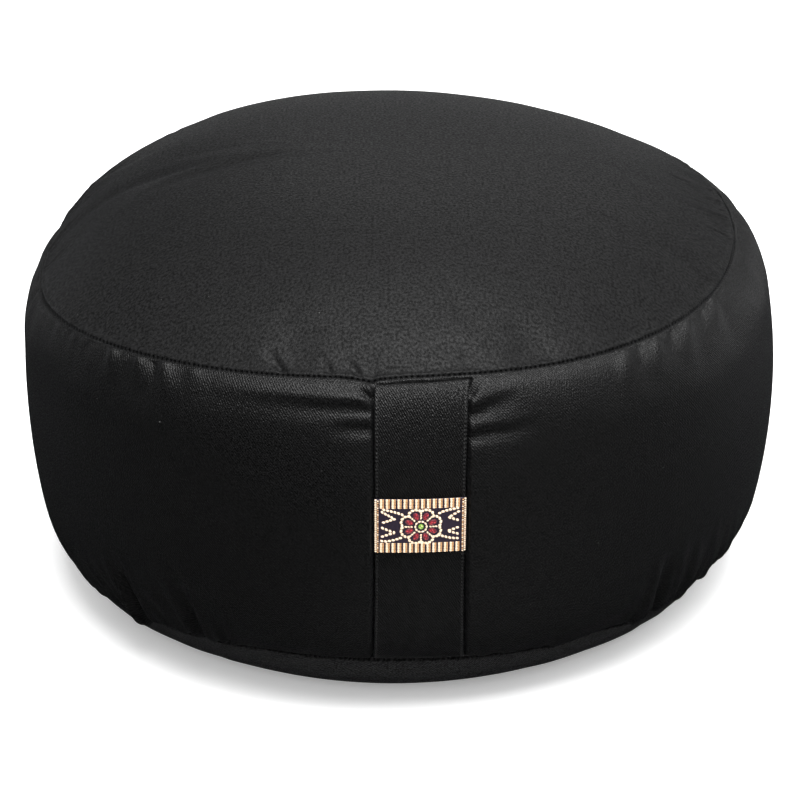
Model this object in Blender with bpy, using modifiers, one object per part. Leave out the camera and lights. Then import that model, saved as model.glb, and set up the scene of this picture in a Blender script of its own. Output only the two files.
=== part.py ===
"""Round meditation cushion with a flat handle strap down its front and a small woven ribbon sewn across the strap.

Sizes are in millimetres and turn into metres where the points are placed.
The origin is the middle of the resting face, +Z is up, and the strap is on the -Y side.
A compass angle runs from the front, -Y, towards +X, in degrees.
"""
import math
from collections import namedtuple

import bpy
from mathutils import Vector

MM = 0.001

# Whole cushion
OBJECT_NAME = "meditation_cushion"
CROWN_HEIGHT = 186.0
CROWN_FULLNESS = 2.8
BAND_SHOULDER = 0.9
UNDERSIDE_WIDTH = 22.0

# Sewn seams
SEAM_DEPTH = 1.8
LIP_RISE = 0.7
SHARP_ANGLE = 60.0

# Handle strap: its middle line leans a little, so it has one x at each seam
STRAP_WIDTH = 37.0
STRAP_THICKNESS = 2.2
STRAP_TOP_X = 11.8
STRAP_BOTTOM_X = 10.4
CHANNEL_HALF_WIDTH = 19.0
CHANNEL_WALL = 2.0
CHANNEL_TOLERANCE = 0.01
BULGE = 2.2
BULGE_REACH = 20.0
BULGE_FULL_SWING = 30.0

# Woven ribbon, sewn across the strap at the band's widest ring
RIBBON_WIDTH = 36.6
RIBBON_THICKNESS = 1.0

# Room between pieces that touch
SEWN_GAP = 0.3

# Mesh: rings down the outside, and stations round it that lie closer together near the strap
CROWN_REACHES = (0.12, 0.26, 0.40, 0.53, 0.65, 0.76, 0.85, 0.92, 0.965, 0.985)
BAND_STEPS = 24
UNDERSIDE_SWINGS = (12.0, 36.0, 63.0, 90.0)
STRAP_COLUMNS = 4
BULGE_OFFSETS = (21.0, 25.0, 30.0, 36.0, 43.0)
SIDE_STATIONS = 26
SIDE_END = 72.0
BACK_STATIONS = 43
STRAP_FIRST_RING = 1
STRAP_LAST_RING = 23
RIBBON_FIRST_RING = 10
RIBBON_LAST_RING = 13

# The outside at twelve compass angles: the top seam, the widest ring and the bottom seam
Section = namedtuple("Section", "compass seam_radius seam_height belly_radius belly_height hem_radius hem_height")
SECTIONS = (
    Section(0, 147.5, 147, 164.5, 86.5, 144, 23),
    Section(30, 145.5, 145, 164, 85.5, 143, 19.5),
    Section(60, 144, 144.5, 164, 85, 145.5, 18.5),
    Section(90, 146, 149.5, 166, 83.5, 149.5, 19),
    Section(120, 150, 153, 167, 84.5, 148.5, 21),
    Section(150, 151, 155, 167, 86, 148.5, 21.5),
    Section(180, 153, 157, 166, 87, 148.5, 21),
    Section(210, 155, 155.5, 163.5, 88, 147, 20),
    Section(240, 152, 146.5, 160.5, 88.5, 145.5, 19),
    Section(270, 150.5, 135, 160, 88.5, 144.5, 17),
    Section(300, 154, 139.5, 161.5, 88.5, 144, 14.5),
    Section(330, 150.5, 144, 164, 87.5, 143, 20),
)

# Folds pressed into the cloth, deepest at their start. A distance is measured over the cloth from the fold's own seam.
Fold = namedtuple("Fold", "start_compass start_distance end_compass end_distance width depth")
FOLD_FADE = 0.7

# Pulls beside the strap and gathers, down the band from the top seam
BAND_GATHERS = (
    Fold(-3.5, 14, -23, 12, 4.5, 2.4),
    Fold(-3.5, 21, -9, 20, 3.5, 1.8),
    Fold(11.5, 15, 20, 12, 4.0, 2.0),
    Fold(11.0, 24, 20, 22, 4.0, 2.2),
    Fold(-47, 2, -44, 14, 4.5, 1.5),
    Fold(-36, 2, -35, 13, 4.5, 1.5),
    Fold(36, 2, 35, 15, 4.5, 1.2),
    Fold(43, 2, 41, 15, 4.5, 1.4),
    Fold(53, 2, 49, 16, 4.5, 1.5),
    Fold(63, 2, 61, 15, 4.5, 1.2),
    Fold(118, 2, 116, 14, 5.0, 1.4),
    Fold(151, 2, 153, 14, 5.0, 1.4),
    Fold(204, 2, 202, 15, 5.0, 1.5),
    Fold(243, 2, 245, 14, 5.0, 1.4),
    Fold(282, 2, 280, 14, 5.0, 1.4),
)

# Tucks, up the band from the bottom seam
BAND_TUCKS = (
    Fold(-41, 3, -48, 36, 5.5, 3.4),
    Fold(-31, 3, -33, 31, 4.5, 2.0),
    Fold(-25, 3, -25, 24, 4.0, 1.3),
    Fold(43, 3, 41, 36, 4.5, 2.0),
    Fold(51, 3, 47, 38, 5.0, 2.6),
    Fold(59, 3, 57, 40, 5.0, 2.2),
    Fold(67, 3, 62, 37, 5.0, 2.2),
    Fold(104, 3, 107, 26, 5.5, 2.0),
    Fold(139, 3, 136, 27, 5.5, 2.2),
    Fold(176, 3, 178, 26, 5.5, 2.0),
    Fold(221, 3, 218, 27, 5.5, 2.2),
    Fold(262, 3, 265, 27, 5.5, 2.2),
    Fold(296, 3, 293, 28, 5.5, 2.0),
)

# Dents, inwards on the top panel from the top seam
CROWN_DENTS = (
    Fold(-16, 3, -20, 12, 5.0, 1.6),
    Fold(-7, 3, -9, 9, 4.5, 1.2),
    Fold(258, 4, 263, 30, 5.0, 1.4),
    Fold(246, 4, 252, 26, 5.0, 1.4),
    Fold(92, 4, 97, 24, 5.0, 1.0),
)

# A ring of points: its panel and how far along that panel it lies
Ring = namedtuple("Ring", "panel along")

# Cloth colours, as red, green and blue, with roughness
Finish = namedtuple("Finish", "colour roughness")
TWILL = Finish((0.012, 0.012, 0.013), 0.85)
STRAP_TWILL = Finish((0.014, 0.014, 0.015), 0.80)
RIBBON_YARN = Finish((0.62, 0.46, 0.24), 0.60)


def clear_scene():
    """Empties the file, so that only the cushion is in it."""
    for item in list(bpy.data.objects):
        bpy.data.objects.remove(item, do_unlink=True)


def section_at(compass):
    """Gives the outside's sizes at any compass angle, on a smooth curve through the rows of SECTIONS."""
    spacing = 360.0 / len(SECTIONS)
    row = math.floor(compass / spacing)
    t = compass / spacing - row
    rows = [SECTIONS[(row + step) % len(SECTIONS)] for step in (-1, 0, 1, 2)]
    values = []
    for before, here, after, later in zip(*rows):
        slope = after - before
        bend = 2 * before - 5 * here + 4 * after - later
        twist = 3 * (here - after) + later - before
        values.append(here + 0.5 * t * (slope + t * (bend + t * twist)))
    return Section(*values)


def outline_point(section, ring):
    """Gives the radius and height of a ring where the outside has this section."""
    s = section
    if ring.panel == "crown":
        fall = 1 - ring.along ** CROWN_FULLNESS
        return s.seam_radius * ring.along, s.seam_height + (CROWN_HEIGHT - s.seam_height) * fall
    if ring.panel == "underside":
        swing = math.radians(ring.along)
        tuck = UNDERSIDE_WIDTH * (1 - math.cos(swing))
        return s.hem_radius - tuck, s.hem_height * (1 - math.sin(swing))
    swing = math.radians(ring.along)
    spread = max(math.sin(swing), 0.0) ** BAND_SHOULDER
    if ring.along <= 90:
        radius = s.seam_radius + (s.belly_radius - s.seam_radius) * spread
        return radius, s.belly_height + (s.seam_height - s.belly_height) * math.cos(swing)
    radius = s.hem_radius + (s.belly_radius - s.hem_radius) * spread
    return radius, s.belly_height + (s.belly_height - s.hem_height) * math.cos(swing)


def list_rings():
    """Lists the rings from the top panel's middle to the edge of the resting face."""
    rings = [Ring("crown", 0.0)]
    rings += [Ring("crown", reach) for reach in CROWN_REACHES]
    rings += [Ring("band", 180.0 * step / BAND_STEPS) for step in range(BAND_STEPS + 1)]
    rings += [Ring("underside", swing) for swing in UNDERSIDE_SWINGS]
    return rings


RINGS = list_rings()
FIRST_BAND_RING = 1 + len(CROWN_REACHES)
LAST_BAND_RING = FIRST_BAND_RING + BAND_STEPS


def strap_x(ring):
    """Gives the x of the strap's middle line at a ring's height."""
    along = {"crown": 0.0, "underside": 180.0}.get(ring.panel, ring.along)
    return STRAP_TOP_X + (STRAP_BOTTOM_X - STRAP_TOP_X) * along / 180.0


def anchor_radius(ring):
    """Gives the front radius that turns distances from the strap into angles."""
    front = section_at(0.0)
    if ring.panel == "crown":
        return front.seam_radius
    if ring.panel == "underside":
        return front.hem_radius
    return outline_point(front, ring)[0]


def compass_of_offset(ring, offset):
    """Gives the compass angle of a place this far beside the strap's middle line."""
    radius = anchor_radius(ring)
    return math.degrees(math.asin(strap_x(ring) / radius) + offset / radius)


def offset_of_compass(ring, compass):
    """Gives how far a compass angle lies beside the strap's middle line."""
    turn = (compass - compass_of_offset(ring, 0.0) + 180.0) % 360.0 - 180.0
    return math.radians(turn) * anchor_radius(ring)


def one_side_stations(ring):
    """Lists the angles from the strap's middle line round one side, up to the back."""
    radius = anchor_radius(ring)
    columns = [CHANNEL_HALF_WIDTH * column / STRAP_COLUMNS for column in range(STRAP_COLUMNS + 1)]
    angles = [math.degrees(offset / radius) for offset in (*columns, *BULGE_OFFSETS)]
    start = angles[-1]
    angles += [start + (SIDE_END - start) * step / SIDE_STATIONS for step in range(1, SIDE_STATIONS + 1)]
    return angles


def station_compasses(ring):
    """Lists the compass angles of a ring's points, once round from the strap's middle line."""
    middle = compass_of_offset(ring, 0.0)
    side = one_side_stations(ring)
    gap = 360.0 - 2 * SIDE_END
    back = [SIDE_END + gap * step / BACK_STATIONS for step in range(1, BACK_STATIONS)]
    other_side = [360.0 - angle for angle in reversed(side[1:])]
    return [middle + angle for angle in (*side, *back, *other_side)]


def cloth_drop(section, ring):
    """Measures the band's cloth from the top seam down to a ring of the band."""
    drop = 0.0
    last = outline_point(section, RINGS[FIRST_BAND_RING])
    for other in RINGS[FIRST_BAND_RING + 1:LAST_BAND_RING + 1]:
        if other.along > ring.along:
            break
        point = outline_point(section, other)
        drop += math.dist(last, point)
        last = point
    return drop


def trough(place, start, end, width, depth):
    """Gives the depth at a place of a soft trough that fades out from its start to its end."""
    line = Vector(end) - Vector(start)
    offset = Vector(place) - Vector(start)
    along = min(max(offset.dot(line) / line.length_squared, 0.0), 1.0)
    distance = (offset - line * along).length
    return depth * (1 - along) ** FOLD_FADE * math.exp(-((distance / width) ** 2))


def nearest_turn(compass, reference):
    """Moves a compass angle by whole turns until it is next to the reference."""
    return reference + (compass - reference + 180.0) % 360.0 - 180.0


def folds_depth(compass, distance, radius, folds):
    """Adds up the folds at a place given by its compass angle and its distance from the folds' seam."""
    total = 0.0
    for fold in folds:
        start_compass, start_distance, end_compass, end_distance, width, depth = fold
        here = nearest_turn(compass, start_compass)
        scale = math.radians(1.0) * radius
        place = (here * scale, distance)
        start = (start_compass * scale, start_distance)
        end = (end_compass * scale, end_distance)
        total += trough(place, start, end, width, depth)
    return total


def strap_relief(ring, offset):
    """Gives the strap's channel, below the cloth, and the bulge that it presses up on both sides."""
    beside = abs(offset)
    if beside <= CHANNEL_HALF_WIDTH + CHANNEL_TOLERANCE:
        return -(STRAP_THICKNESS + SEWN_GAP)
    from_end = min(ring.along, 180.0 - ring.along)
    swell = math.sqrt(min(from_end / BULGE_FULL_SWING, 1.0))
    past_wall = max(beside - CHANNEL_HALF_WIDTH - CHANNEL_WALL, 0.0)
    return BULGE * swell * math.exp(-((past_wall / BULGE_REACH) ** 2))


def relief(ring_index, compass):
    """Gives how far the cloth stands out of, or is pressed into, the smooth outside."""
    ring = RINGS[ring_index]
    if ring_index in (FIRST_BAND_RING, LAST_BAND_RING):
        return -SEAM_DEPTH
    if ring.panel == "underside":
        return LIP_RISE if ring.along == UNDERSIDE_SWINGS[0] else 0.0
    section = section_at(compass)
    if ring.panel == "crown":
        inset = section.seam_radius * (1 - ring.along)
        lip = LIP_RISE if ring_index == FIRST_BAND_RING - 1 else 0.0
        return lip - folds_depth(compass, inset, section.seam_radius - inset, CROWN_DENTS)
    offset = offset_of_compass(ring, compass)
    shape = strap_relief(ring, offset)
    if abs(offset) <= CHANNEL_HALF_WIDTH + CHANNEL_TOLERANCE:
        return shape
    drop = cloth_drop(section, ring)
    rise = cloth_drop(section, RINGS[LAST_BAND_RING]) - drop
    shape -= folds_depth(compass, drop, section.belly_radius, BAND_GATHERS)
    return shape - folds_depth(compass, rise, section.belly_radius, BAND_TUCKS)


def outward(section, ring_index):
    """Gives the outward direction of the smooth outside at a ring, as radial and upward shares."""
    before = outline_point(section, RINGS[max(ring_index - 1, 0)])
    after = outline_point(section, RINGS[min(ring_index + 1, len(RINGS) - 1)])
    along = Vector((after[0] - before[0], after[1] - before[1])).normalized()
    return -along.y, along.x


def surface_point(ring_index, compass, lift=0.0):
    """Places a point of the cushion's outside, raised by a lift, in metres."""
    section = section_at(compass)
    radius, height = outline_point(section, RINGS[ring_index])
    if 0 < ring_index < len(RINGS) - 1:
        out, up = outward(section, ring_index)
        rise = relief(ring_index, compass) + lift
        radius += out * rise
        height += up * rise
    turn = math.radians(compass)
    return Vector((radius * math.sin(turn), -radius * math.cos(turn), height)) * MM


def new_object(name, mesh, finish, collection):
    """Adds a mesh as a named object with its own material."""
    body = bpy.data.objects.new(name, mesh)
    collection.objects.link(body)
    material = bpy.data.materials.new(name)
    material.use_nodes = True
    shader = material.node_tree.nodes["Principled BSDF"]
    shader.inputs["Base Color"].default_value = (*finish.colour, 1.0)
    shader.inputs["Roughness"].default_value = finish.roughness
    shader.inputs["Metallic"].default_value = 0.0
    mesh.materials.append(material)
    return body


def turned_mesh(profile, steps):
    """Turns a profile once round Z with a Screw modifier and returns the mesh it makes."""
    line = bpy.data.meshes.new("outline")
    line.from_pydata([(radius, 0.0, height) for radius, height in profile],
                     [(point, point + 1) for point in range(len(profile) - 1)], [])
    lathe = bpy.data.objects.new("outline", line)
    bpy.context.scene.collection.objects.link(lathe)
    screw = lathe.modifiers.new("Turn", "SCREW")
    screw.axis = "Z"
    screw.angle = math.tau
    screw.steps = steps
    screw.render_steps = steps
    screw.use_merge_vertices = True
    screw.merge_threshold = 0.0001
    evaluated = lathe.evaluated_get(bpy.context.evaluated_depsgraph_get())
    mesh = bpy.data.meshes.new_from_object(evaluated)
    bpy.data.objects.remove(lathe, do_unlink=True)
    return mesh


def build_cushion(collection):
    """Turns the outside's mean outline, then moves each point to its own section, seam, channel and folds."""
    mean = section_at(180.0)
    profile = [outline_point(mean, ring) for ring in RINGS] + [(0.0, 0.0)]
    profile = [(radius * MM, height * MM) for radius, height in profile]
    compasses = [station_compasses(ring) for ring in RINGS]
    steps = len(compasses[0])
    mesh = turned_mesh(profile, steps)
    for vertex in mesh.vertices:
        radius = math.hypot(vertex.co.x, vertex.co.y)
        place = (radius, vertex.co.z)
        ring_index = min(range(len(profile)), key=lambda index: math.dist(profile[index], place))
        if ring_index in (0, len(profile) - 1):
            continue
        turn = math.degrees(math.atan2(vertex.co.x, -vertex.co.y)) % 360.0
        station = round(turn * steps / 360.0) % steps
        vertex.co = surface_point(ring_index, compasses[ring_index][station])
    cushion = new_object("cushion", mesh, TWILL, collection)
    mesh.shade_smooth()
    mesh.set_sharp_from_angle(angle=math.radians(SHARP_ANGLE))
    return cushion


def build_sheet(name, rings, width, lift, thickness, finish, collection):
    """Lays a strip of cloth on the channel's bed, between two rings of the band, and gives it its thickness."""
    first, last = rings
    columns = [width * (column / (2 * STRAP_COLUMNS) - 0.5) for column in range(2 * STRAP_COLUMNS + 1)]
    points = []
    for step in range(first, last + 1):
        ring_index = FIRST_BAND_RING + step
        ring = RINGS[ring_index]
        for offset in columns:
            points.append(surface_point(ring_index, compass_of_offset(ring, offset), lift))
    across = len(columns)
    faces = []
    for row in range(last - first):
        for column in range(across - 1):
            corner = row * across + column
            faces.append((corner, corner + across, corner + across + 1, corner + 1))
    mesh = bpy.data.meshes.new(name)
    mesh.from_pydata(points, [], faces)
    sheet = new_object(name, mesh, finish, collection)
    shell = sheet.modifiers.new("Cloth thickness", "SOLIDIFY")
    shell.thickness = thickness * MM
    shell.offset = 1.0
    shell.use_even_offset = True
    return sheet


def build_handle_strap(collection):
    """Lays the strap in its channel, from the top seam to the bottom seam."""
    rings = (STRAP_FIRST_RING, STRAP_LAST_RING)
    return build_sheet("handle_strap", rings, STRAP_WIDTH, SEWN_GAP, STRAP_THICKNESS, STRAP_TWILL, collection)


def build_woven_ribbon(collection):
    """Lays the ribbon across the strap, at the band's widest ring."""
    rings = (RIBBON_FIRST_RING, RIBBON_LAST_RING)
    lift = SEWN_GAP + STRAP_THICKNESS + SEWN_GAP
    return build_sheet("woven_ribbon", rings, RIBBON_WIDTH, lift, RIBBON_THICKNESS, RIBBON_YARN, collection)


def main():
    """Builds the whole cushion in a collection of its own."""
    clear_scene()
    collection = bpy.data.collections.new(OBJECT_NAME)
    bpy.context.scene.collection.children.link(collection)
    build_cushion(collection)
    build_handle_strap(collection)
    build_woven_ribbon(collection)


main()
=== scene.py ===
"""Dresses the round meditation cushion: its filled twill body, its handle strap and its woven ribbon.

Sizes of the cloth are in millimetres, as the cutting list has them, and turn into metres where points are
placed. A compass angle runs from the front, -Y, towards +X, in degrees. A drop is measured down the band's
cloth from the top seam, and an inset is measured inwards on the top panel from the same seam.
"""

import logging
import math
from dataclasses import dataclass
from enum import Enum
from typing import NamedTuple

import bpy
import numpy as np
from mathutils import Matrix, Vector


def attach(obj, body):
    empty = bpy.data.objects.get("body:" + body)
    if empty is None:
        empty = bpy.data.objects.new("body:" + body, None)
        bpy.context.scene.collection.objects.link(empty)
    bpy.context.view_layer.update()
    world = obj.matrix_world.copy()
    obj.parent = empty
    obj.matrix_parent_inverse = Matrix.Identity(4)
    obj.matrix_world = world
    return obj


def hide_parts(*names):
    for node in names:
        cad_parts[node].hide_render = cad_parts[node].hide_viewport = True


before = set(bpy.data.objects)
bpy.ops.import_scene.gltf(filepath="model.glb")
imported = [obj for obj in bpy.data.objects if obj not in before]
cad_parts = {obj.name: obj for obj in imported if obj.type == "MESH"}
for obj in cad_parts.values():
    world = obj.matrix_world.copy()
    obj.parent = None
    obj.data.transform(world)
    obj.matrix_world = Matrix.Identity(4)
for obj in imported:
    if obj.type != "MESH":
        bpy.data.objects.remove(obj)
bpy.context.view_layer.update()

LOG = logging.getLogger("cushion")
Socket = bpy.types.NodeSocket
MM = 0.001

# Even radii and band depth, in millimetres, on which folds and flat places are laid out
BAND_RADIUS = 160.0
CROWN_RADIUS = 148.0
SEAM_RADIUS = 150.0
BAND_CLOTH = 128.0
# Step from panel to panel in the numbers of the rings, and a distance beyond the reach of every seam
PANEL_STEP = 1000.0
FAR = 1e3
# Compass angle near the strap's middle, where its length of cloth is measured
STRAP_COMPASS = 4.0


class Section(NamedTuple):
    """The outside at one compass angle: the top seam, the widest ring and the bottom seam."""

    compass: float
    seam_radius: float
    seam_height: float
    belly_radius: float
    belly_height: float
    hem_radius: float
    hem_height: float


SECTIONS = (
    Section(0, 147.5, 147, 164.5, 86.5, 144, 23),
    Section(30, 145.5, 145, 164, 85.5, 143, 19.5),
    Section(60, 144, 144.5, 164, 85, 145.5, 18.5),
    Section(90, 146, 149.5, 166, 83.5, 149.5, 19),
    Section(120, 150, 153, 167, 84.5, 148.5, 21),
    Section(150, 151, 155, 167, 86, 148.5, 21.5),
    Section(180, 153, 157, 166, 87, 148.5, 21),
    Section(210, 155, 155.5, 163.5, 88, 147, 20),
    Section(240, 152, 146.5, 160.5, 88.5, 145.5, 19),
    Section(270, 150.5, 135, 160, 88.5, 144.5, 17),
    Section(300, 154, 139.5, 161.5, 88.5, 144, 14.5),
    Section(330, 150.5, 144, 164, 87.5, 143, 20),
)


class Fold(NamedTuple):
    """A trough pressed into the cloth along a short path, with the two ridges that it pushes up beside it.

    The path's points are a compass angle and a distance over the cloth from the fold's own seam. The trough
    is deepest where the path starts, and a depth below zero makes a raised gather. With the panel laid out
    above its seam and the path followed from its start, the ridge is on the right and the lee on the left,
    each as a share of the depth. A spread above zero makes the right wall gentler, and one below zero the
    left wall.
    """

    path: tuple[tuple[float, float], ...]
    width: float
    depth: float
    ridge: float = 0.25
    lee: float = 0.25
    spread: float = 0.0

    def nearest(self, compass: np.ndarray, away: np.ndarray,
                scale: float) -> tuple[np.ndarray, np.ndarray, np.ndarray]:
        """Finds the place on the path that is nearest to each point.

        Args:
            compass: Compass angles of the points.
            away: Their distances over the cloth from the fold's own seam.
            scale: Millimetres for each degree.

        Returns:
            The distance from the path, the share of the path up to there, and a number that is above zero on
            the path's right.
        """
        gap = np.full_like(away, 1e9)
        share = np.zeros_like(away)
        side = np.zeros_like(away)
        count = len(self.path) - 1
        for index in range(count):
            start = np.array([self.path[index][0] * scale, self.path[index][1]])
            line = np.array([self.path[index + 1][0] * scale, self.path[index + 1][1]]) - start
            across, along = compass * scale - start[0], away - start[1]
            t = np.clip((across * line[0] + along * line[1]) / (line @ line), 0.0, 1.0)
            distance = np.hypot(across - t * line[0], along - t * line[1])
            nearer = distance < gap
            side = np.where(nearer, across * line[1] - along * line[0], side)
            gap = np.where(nearer, distance, gap)
            share = np.where(nearer, (index + t) / count, share)
        return gap, share, side

    def rise(self, compass: np.ndarray, away: np.ndarray, scale: float) -> np.ndarray:
        """Gives how far the fold moves points out of the smooth outside.

        Args:
            compass: Compass angles of the points.
            away: Their distances over the cloth from the fold's own seam.
            scale: Millimetres for each degree.

        Returns:
            One distance for each point.
        """
        gap, share, side = self.nearest(compass, away, scale)
        width = self.width * (0.75 + 0.6 * share)
        width = width * (1.0 + np.where(side > 0, max(self.spread, 0.0), max(-self.spread, 0.0)))
        fade = (1.0 - share) ** 0.8
        trough = np.exp(-((gap / width) ** 2))
        beside = np.exp(-(((gap - 1.9 * width) / (0.9 * width)) ** 2))
        height = np.where(side > 0, self.ridge, self.lee)
        return self.depth * fade * (height * beside - trough)


BAND_GATHERS = (
    # Pulls beside the strap
    Fold(((-2.4, 13.0), (-6.0, 12.8), (-11.6, 12.5), (-17.5, 12.0), (-27.0, 11.6)), 2.0, 2.1, 0.0, 0.4, 0.8),
    Fold(((-2.4, 20.2), (-5.6, 20.2), (-9.0, 20.4)), 1.1, 3.2, 0.0, 0.1, 1.2),
    Fold(((-2.8, 9.4), (-4.0, 6.4), (-5.6, 3.4)), 1.5, 3.2, 0.1, 0.1),
    Fold(((11.2, 9.0), (11.8, 6.0), (12.8, 2.6)), 1.6, 3.6, 0.1, 0.1),
    Fold(((10.8, 16.6), (14.4, 13.4), (18.6, 10.8)), 1.7, 2.6, 0.2, 0.0, -1.8),
    Fold(((10.4, 24.8), (12.8, 24.2), (16.4, 23.8), (21.0, 22.4)), 1.2, 3.0, 0.1, 0.0, -1.4),
    # Gathers under the top seam
    Fold(((-45.2, 2.5), (-44.0, 14.0)), 3.2, -1.6, 0.1, 0.1),
    Fold(((-40.0, 2.5), (-38.0, 15.0)), 2.8, -1.7, 0.1, 0.1),
    Fold(((-37.4, 1.9), (-36.0, 9.6)), 1.4, 1.6, 0.1, 0.1),
    Fold(((-35.0, 2.0), (-33.8, 14.5)), 3.2, -1.6, 0.1, 0.1),
    Fold(((-30.0, 2.0), (-28.5, 11.0)), 3.5, -0.8, 0.1, 0.1),
    Fold(((37.6, 2.9), (35.2, 18.0)), 3.6, -1.4, 0.1, 0.1),
    Fold(((41.2, 1.5), (38.5, 13.0)), 1.8, 0.9, 0.1, 0.1),
    Fold(((44.8, 1.8), (41.2, 17.0)), 3.4, -1.6, 0.1, 0.1),
    Fold(((49.2, 1.5), (45.5, 13.0)), 1.8, 0.9, 0.1, 0.1),
    Fold(((53.6, 1.5), (48.0, 16.0)), 3.8, -1.6, 0.1, 0.1),
    Fold(((58.5, 1.5), (54.5, 12.0)), 1.8, 0.9, 0.1, 0.1),
    Fold(((63.0, 1.5), (58.5, 13.0)), 3.5, -1.3, 0.1, 0.1),
    Fold(((118.0, 1.5), (117, 8), (116, 15)), 3.0, 1.4),
    Fold(((131.0, 1.5), (131, 6), (132, 11)), 2.6, 0.9),
    Fold(((151.0, 1.5), (152, 8), (153, 15)), 3.0, 1.4),
    Fold(((177.0, 1.5), (177, 6), (176, 11)), 2.6, 0.9),
    Fold(((204.0, 1.5), (203, 8), (202, 16)), 3.0, 1.5),
    Fold(((226.0, 1.5), (226, 6), (225, 11)), 2.6, 0.9),
    Fold(((243.0, 1.5), (244, 8), (245, 15)), 3.0, 1.4),
    Fold(((282.0, 1.5), (281, 8), (280, 15)), 3.0, 1.4),
)

BAND_TUCKS = (
    Fold(((-42.8, 1.5), (-43.2, 21.7), (-45.8, 42.0)), 2.6, 5.4, 0.2, 0.7),
    Fold(((-37.0, 2.0), (-38.0, 15.0), (-39.5, 29.0)), 2.0, 1.2, 0.3, 0.3),
    Fold(((-31.0, 1.5), (-31.2, 24.0), (-32.8, 44.0)), 2.4, 4.0, 0.3, 0.4),
    Fold(((-26.8, 1.5), (-26.4, 14.0), (-26.0, 30.0)), 1.8, 2.1, 0.3, 0.3),
    Fold(((-47.5, 2.0), (-50.0, 18.0), (-54.0, 33.0)), 2.6, 1.5, 0.3, 0.3),
    Fold(((42.6, 1.5), (41.2, 24.0), (41.8, 46.0)), 2.2, -2.2, 0.2, 0.2),
    Fold(((46.0, 1.5), (44.0, 25.0), (43.6, 44.0)), 2.4, 4.2, 0.3, 0.3),
    Fold(((48.8, 1.5), (47.6, 22.0), (47.0, 46.0)), 1.8, -1.9, 0.2, 0.2),
    Fold(((50.8, 1.5), (49.8, 20.0), (49.2, 38.0)), 1.6, 1.7, 0.2, 0.2),
    Fold(((53.2, 1.5), (51.8, 20.0), (51.0, 42.0)), 1.8, -1.9, 0.2, 0.2),
    Fold(((56.2, 1.5), (54.5, 20.0), (53.5, 38.0)), 1.8, 1.8, 0.2, 0.2),
    Fold(((60.0, 1.5), (57.5, 20.0), (55.8, 44.0)), 1.8, -1.4, 0.2, 0.2),
    Fold(((63.0, 1.5), (60.8, 20.0), (59.0, 38.0)), 1.8, 1.7, 0.2, 0.2),
    Fold(((67.0, 1.5), (65.0, 20.0), (63.0, 40.0)), 1.8, -1.2, 0.2, 0.2),
    Fold(((70.5, 1.5), (68.5, 17.0), (67.5, 34.0)), 2.0, 1.5, 0.2, 0.2),
    Fold(((104.0, 2), (105, 14), (107, 26)), 3.6, 2.0),
    Fold(((139.0, 2), (138, 14), (136, 27)), 3.6, 2.2),
    Fold(((157.0, 2), (157, 11), (158, 20)), 3.0, 1.3),
    Fold(((176.0, 2), (177, 14), (178, 26)), 3.6, 2.0),
    Fold(((199.0, 2), (198, 10), (197, 19)), 3.0, 1.3),
    Fold(((221.0, 2), (220, 14), (218, 27)), 3.6, 2.2),
    Fold(((243.0, 2), (243, 11), (244, 20)), 3.0, 1.3),
    Fold(((262.0, 2), (264, 14), (265, 27)), 3.6, 2.2),
    Fold(((280.0, 2), (280, 11), (279, 21)), 3.0, 1.3),
    Fold(((296.0, 2), (295, 15), (293, 28)), 3.6, 2.0),
)

CROWN_FOLDS = (
    Fold(((-16.4, 1.3), (-17.6, 4.0), (-18.8, 6.0), (-20.2, 10.5)), 1.2, 2.2, 0.1, 0.1),
    Fold(((-9.2, 1.6), (-10.0, 3.9), (-11.2, 6.0)), 1.2, 1.6, 0.1, 0.1),
    Fold(((-4.8, 1.3), (-6.0, 3.9), (-6.6, 7.2)), 1.2, 1.7, 0.1, 0.1),
    Fold(((-41.7, 1.5), (-42.7, 6), (-43.6, 11)), 2.4, 0.5),
    # Left side
    Fold(((275.2, 1.5), (273.6, 6.4), (272.0, 12.0)), 0.9, 0.9, 0.6, 0.6),
    Fold(((268.4, 1.5), (264.8, 4.8), (262.0, 9.2), (259.5, 15.0)), 0.9, 1.2, 0.6, 0.6),
    Fold(((257.2, 1.5), (253.6, 5.6), (251.0, 12.0)), 0.9, 1.1, 0.6, 0.6),
    Fold(((252.0, 1.5), (253.2, 11.2), (254.4, 18.4)), 0.9, 1.1, 0.6, 0.6),
    Fold(((246.4, 1.5), (242.0, 6.0), (239.0, 12.0)), 1.0, 1.0, 0.6, 0.6),
    # Right side
    Fold(((85.4, 2.5), (84.2, 9.6), (82.4, 18.0)), 0.9, 0.9, 0.6, 0.6),
    Fold(((92.2, 2.5), (90.4, 11.2), (88.0, 21.0)), 0.9, 0.9, 0.6, 0.6),
    Fold(((95.8, 2.5), (93.6, 12.0), (90.8, 23.0)), 0.9, 0.8, 0.6, 0.6),
    Fold(((99.8, 2.5), (96.4, 14.0), (94.0, 25.0)), 0.9, 1.0, 0.6, 0.6),
    Fold(((104.6, 2.5), (102.0, 14.0), (101.2, 25.0)), 0.9, 0.9, 0.6, 0.6),
    Fold(((110.4, 2.5), (112.4, 5.6), (114.0, 12.0)), 0.9, 0.8, 0.6, 0.6),
    # Back
    Fold(((143.0, 1.5), (144, 7), (145, 15)), 2.6, 0.6),
    Fold(((196.0, 1.5), (195, 8), (194, 17)), 2.6, 0.7),
    Fold(((222.0, 1.5), (223, 7), (224, 15)), 2.6, 0.6),
)


class SeamWave(NamedTuple):
    """How far a seam rises above its even ring at one compass angle, pulled by tucks and the strap."""

    compass: float
    rise: float


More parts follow.
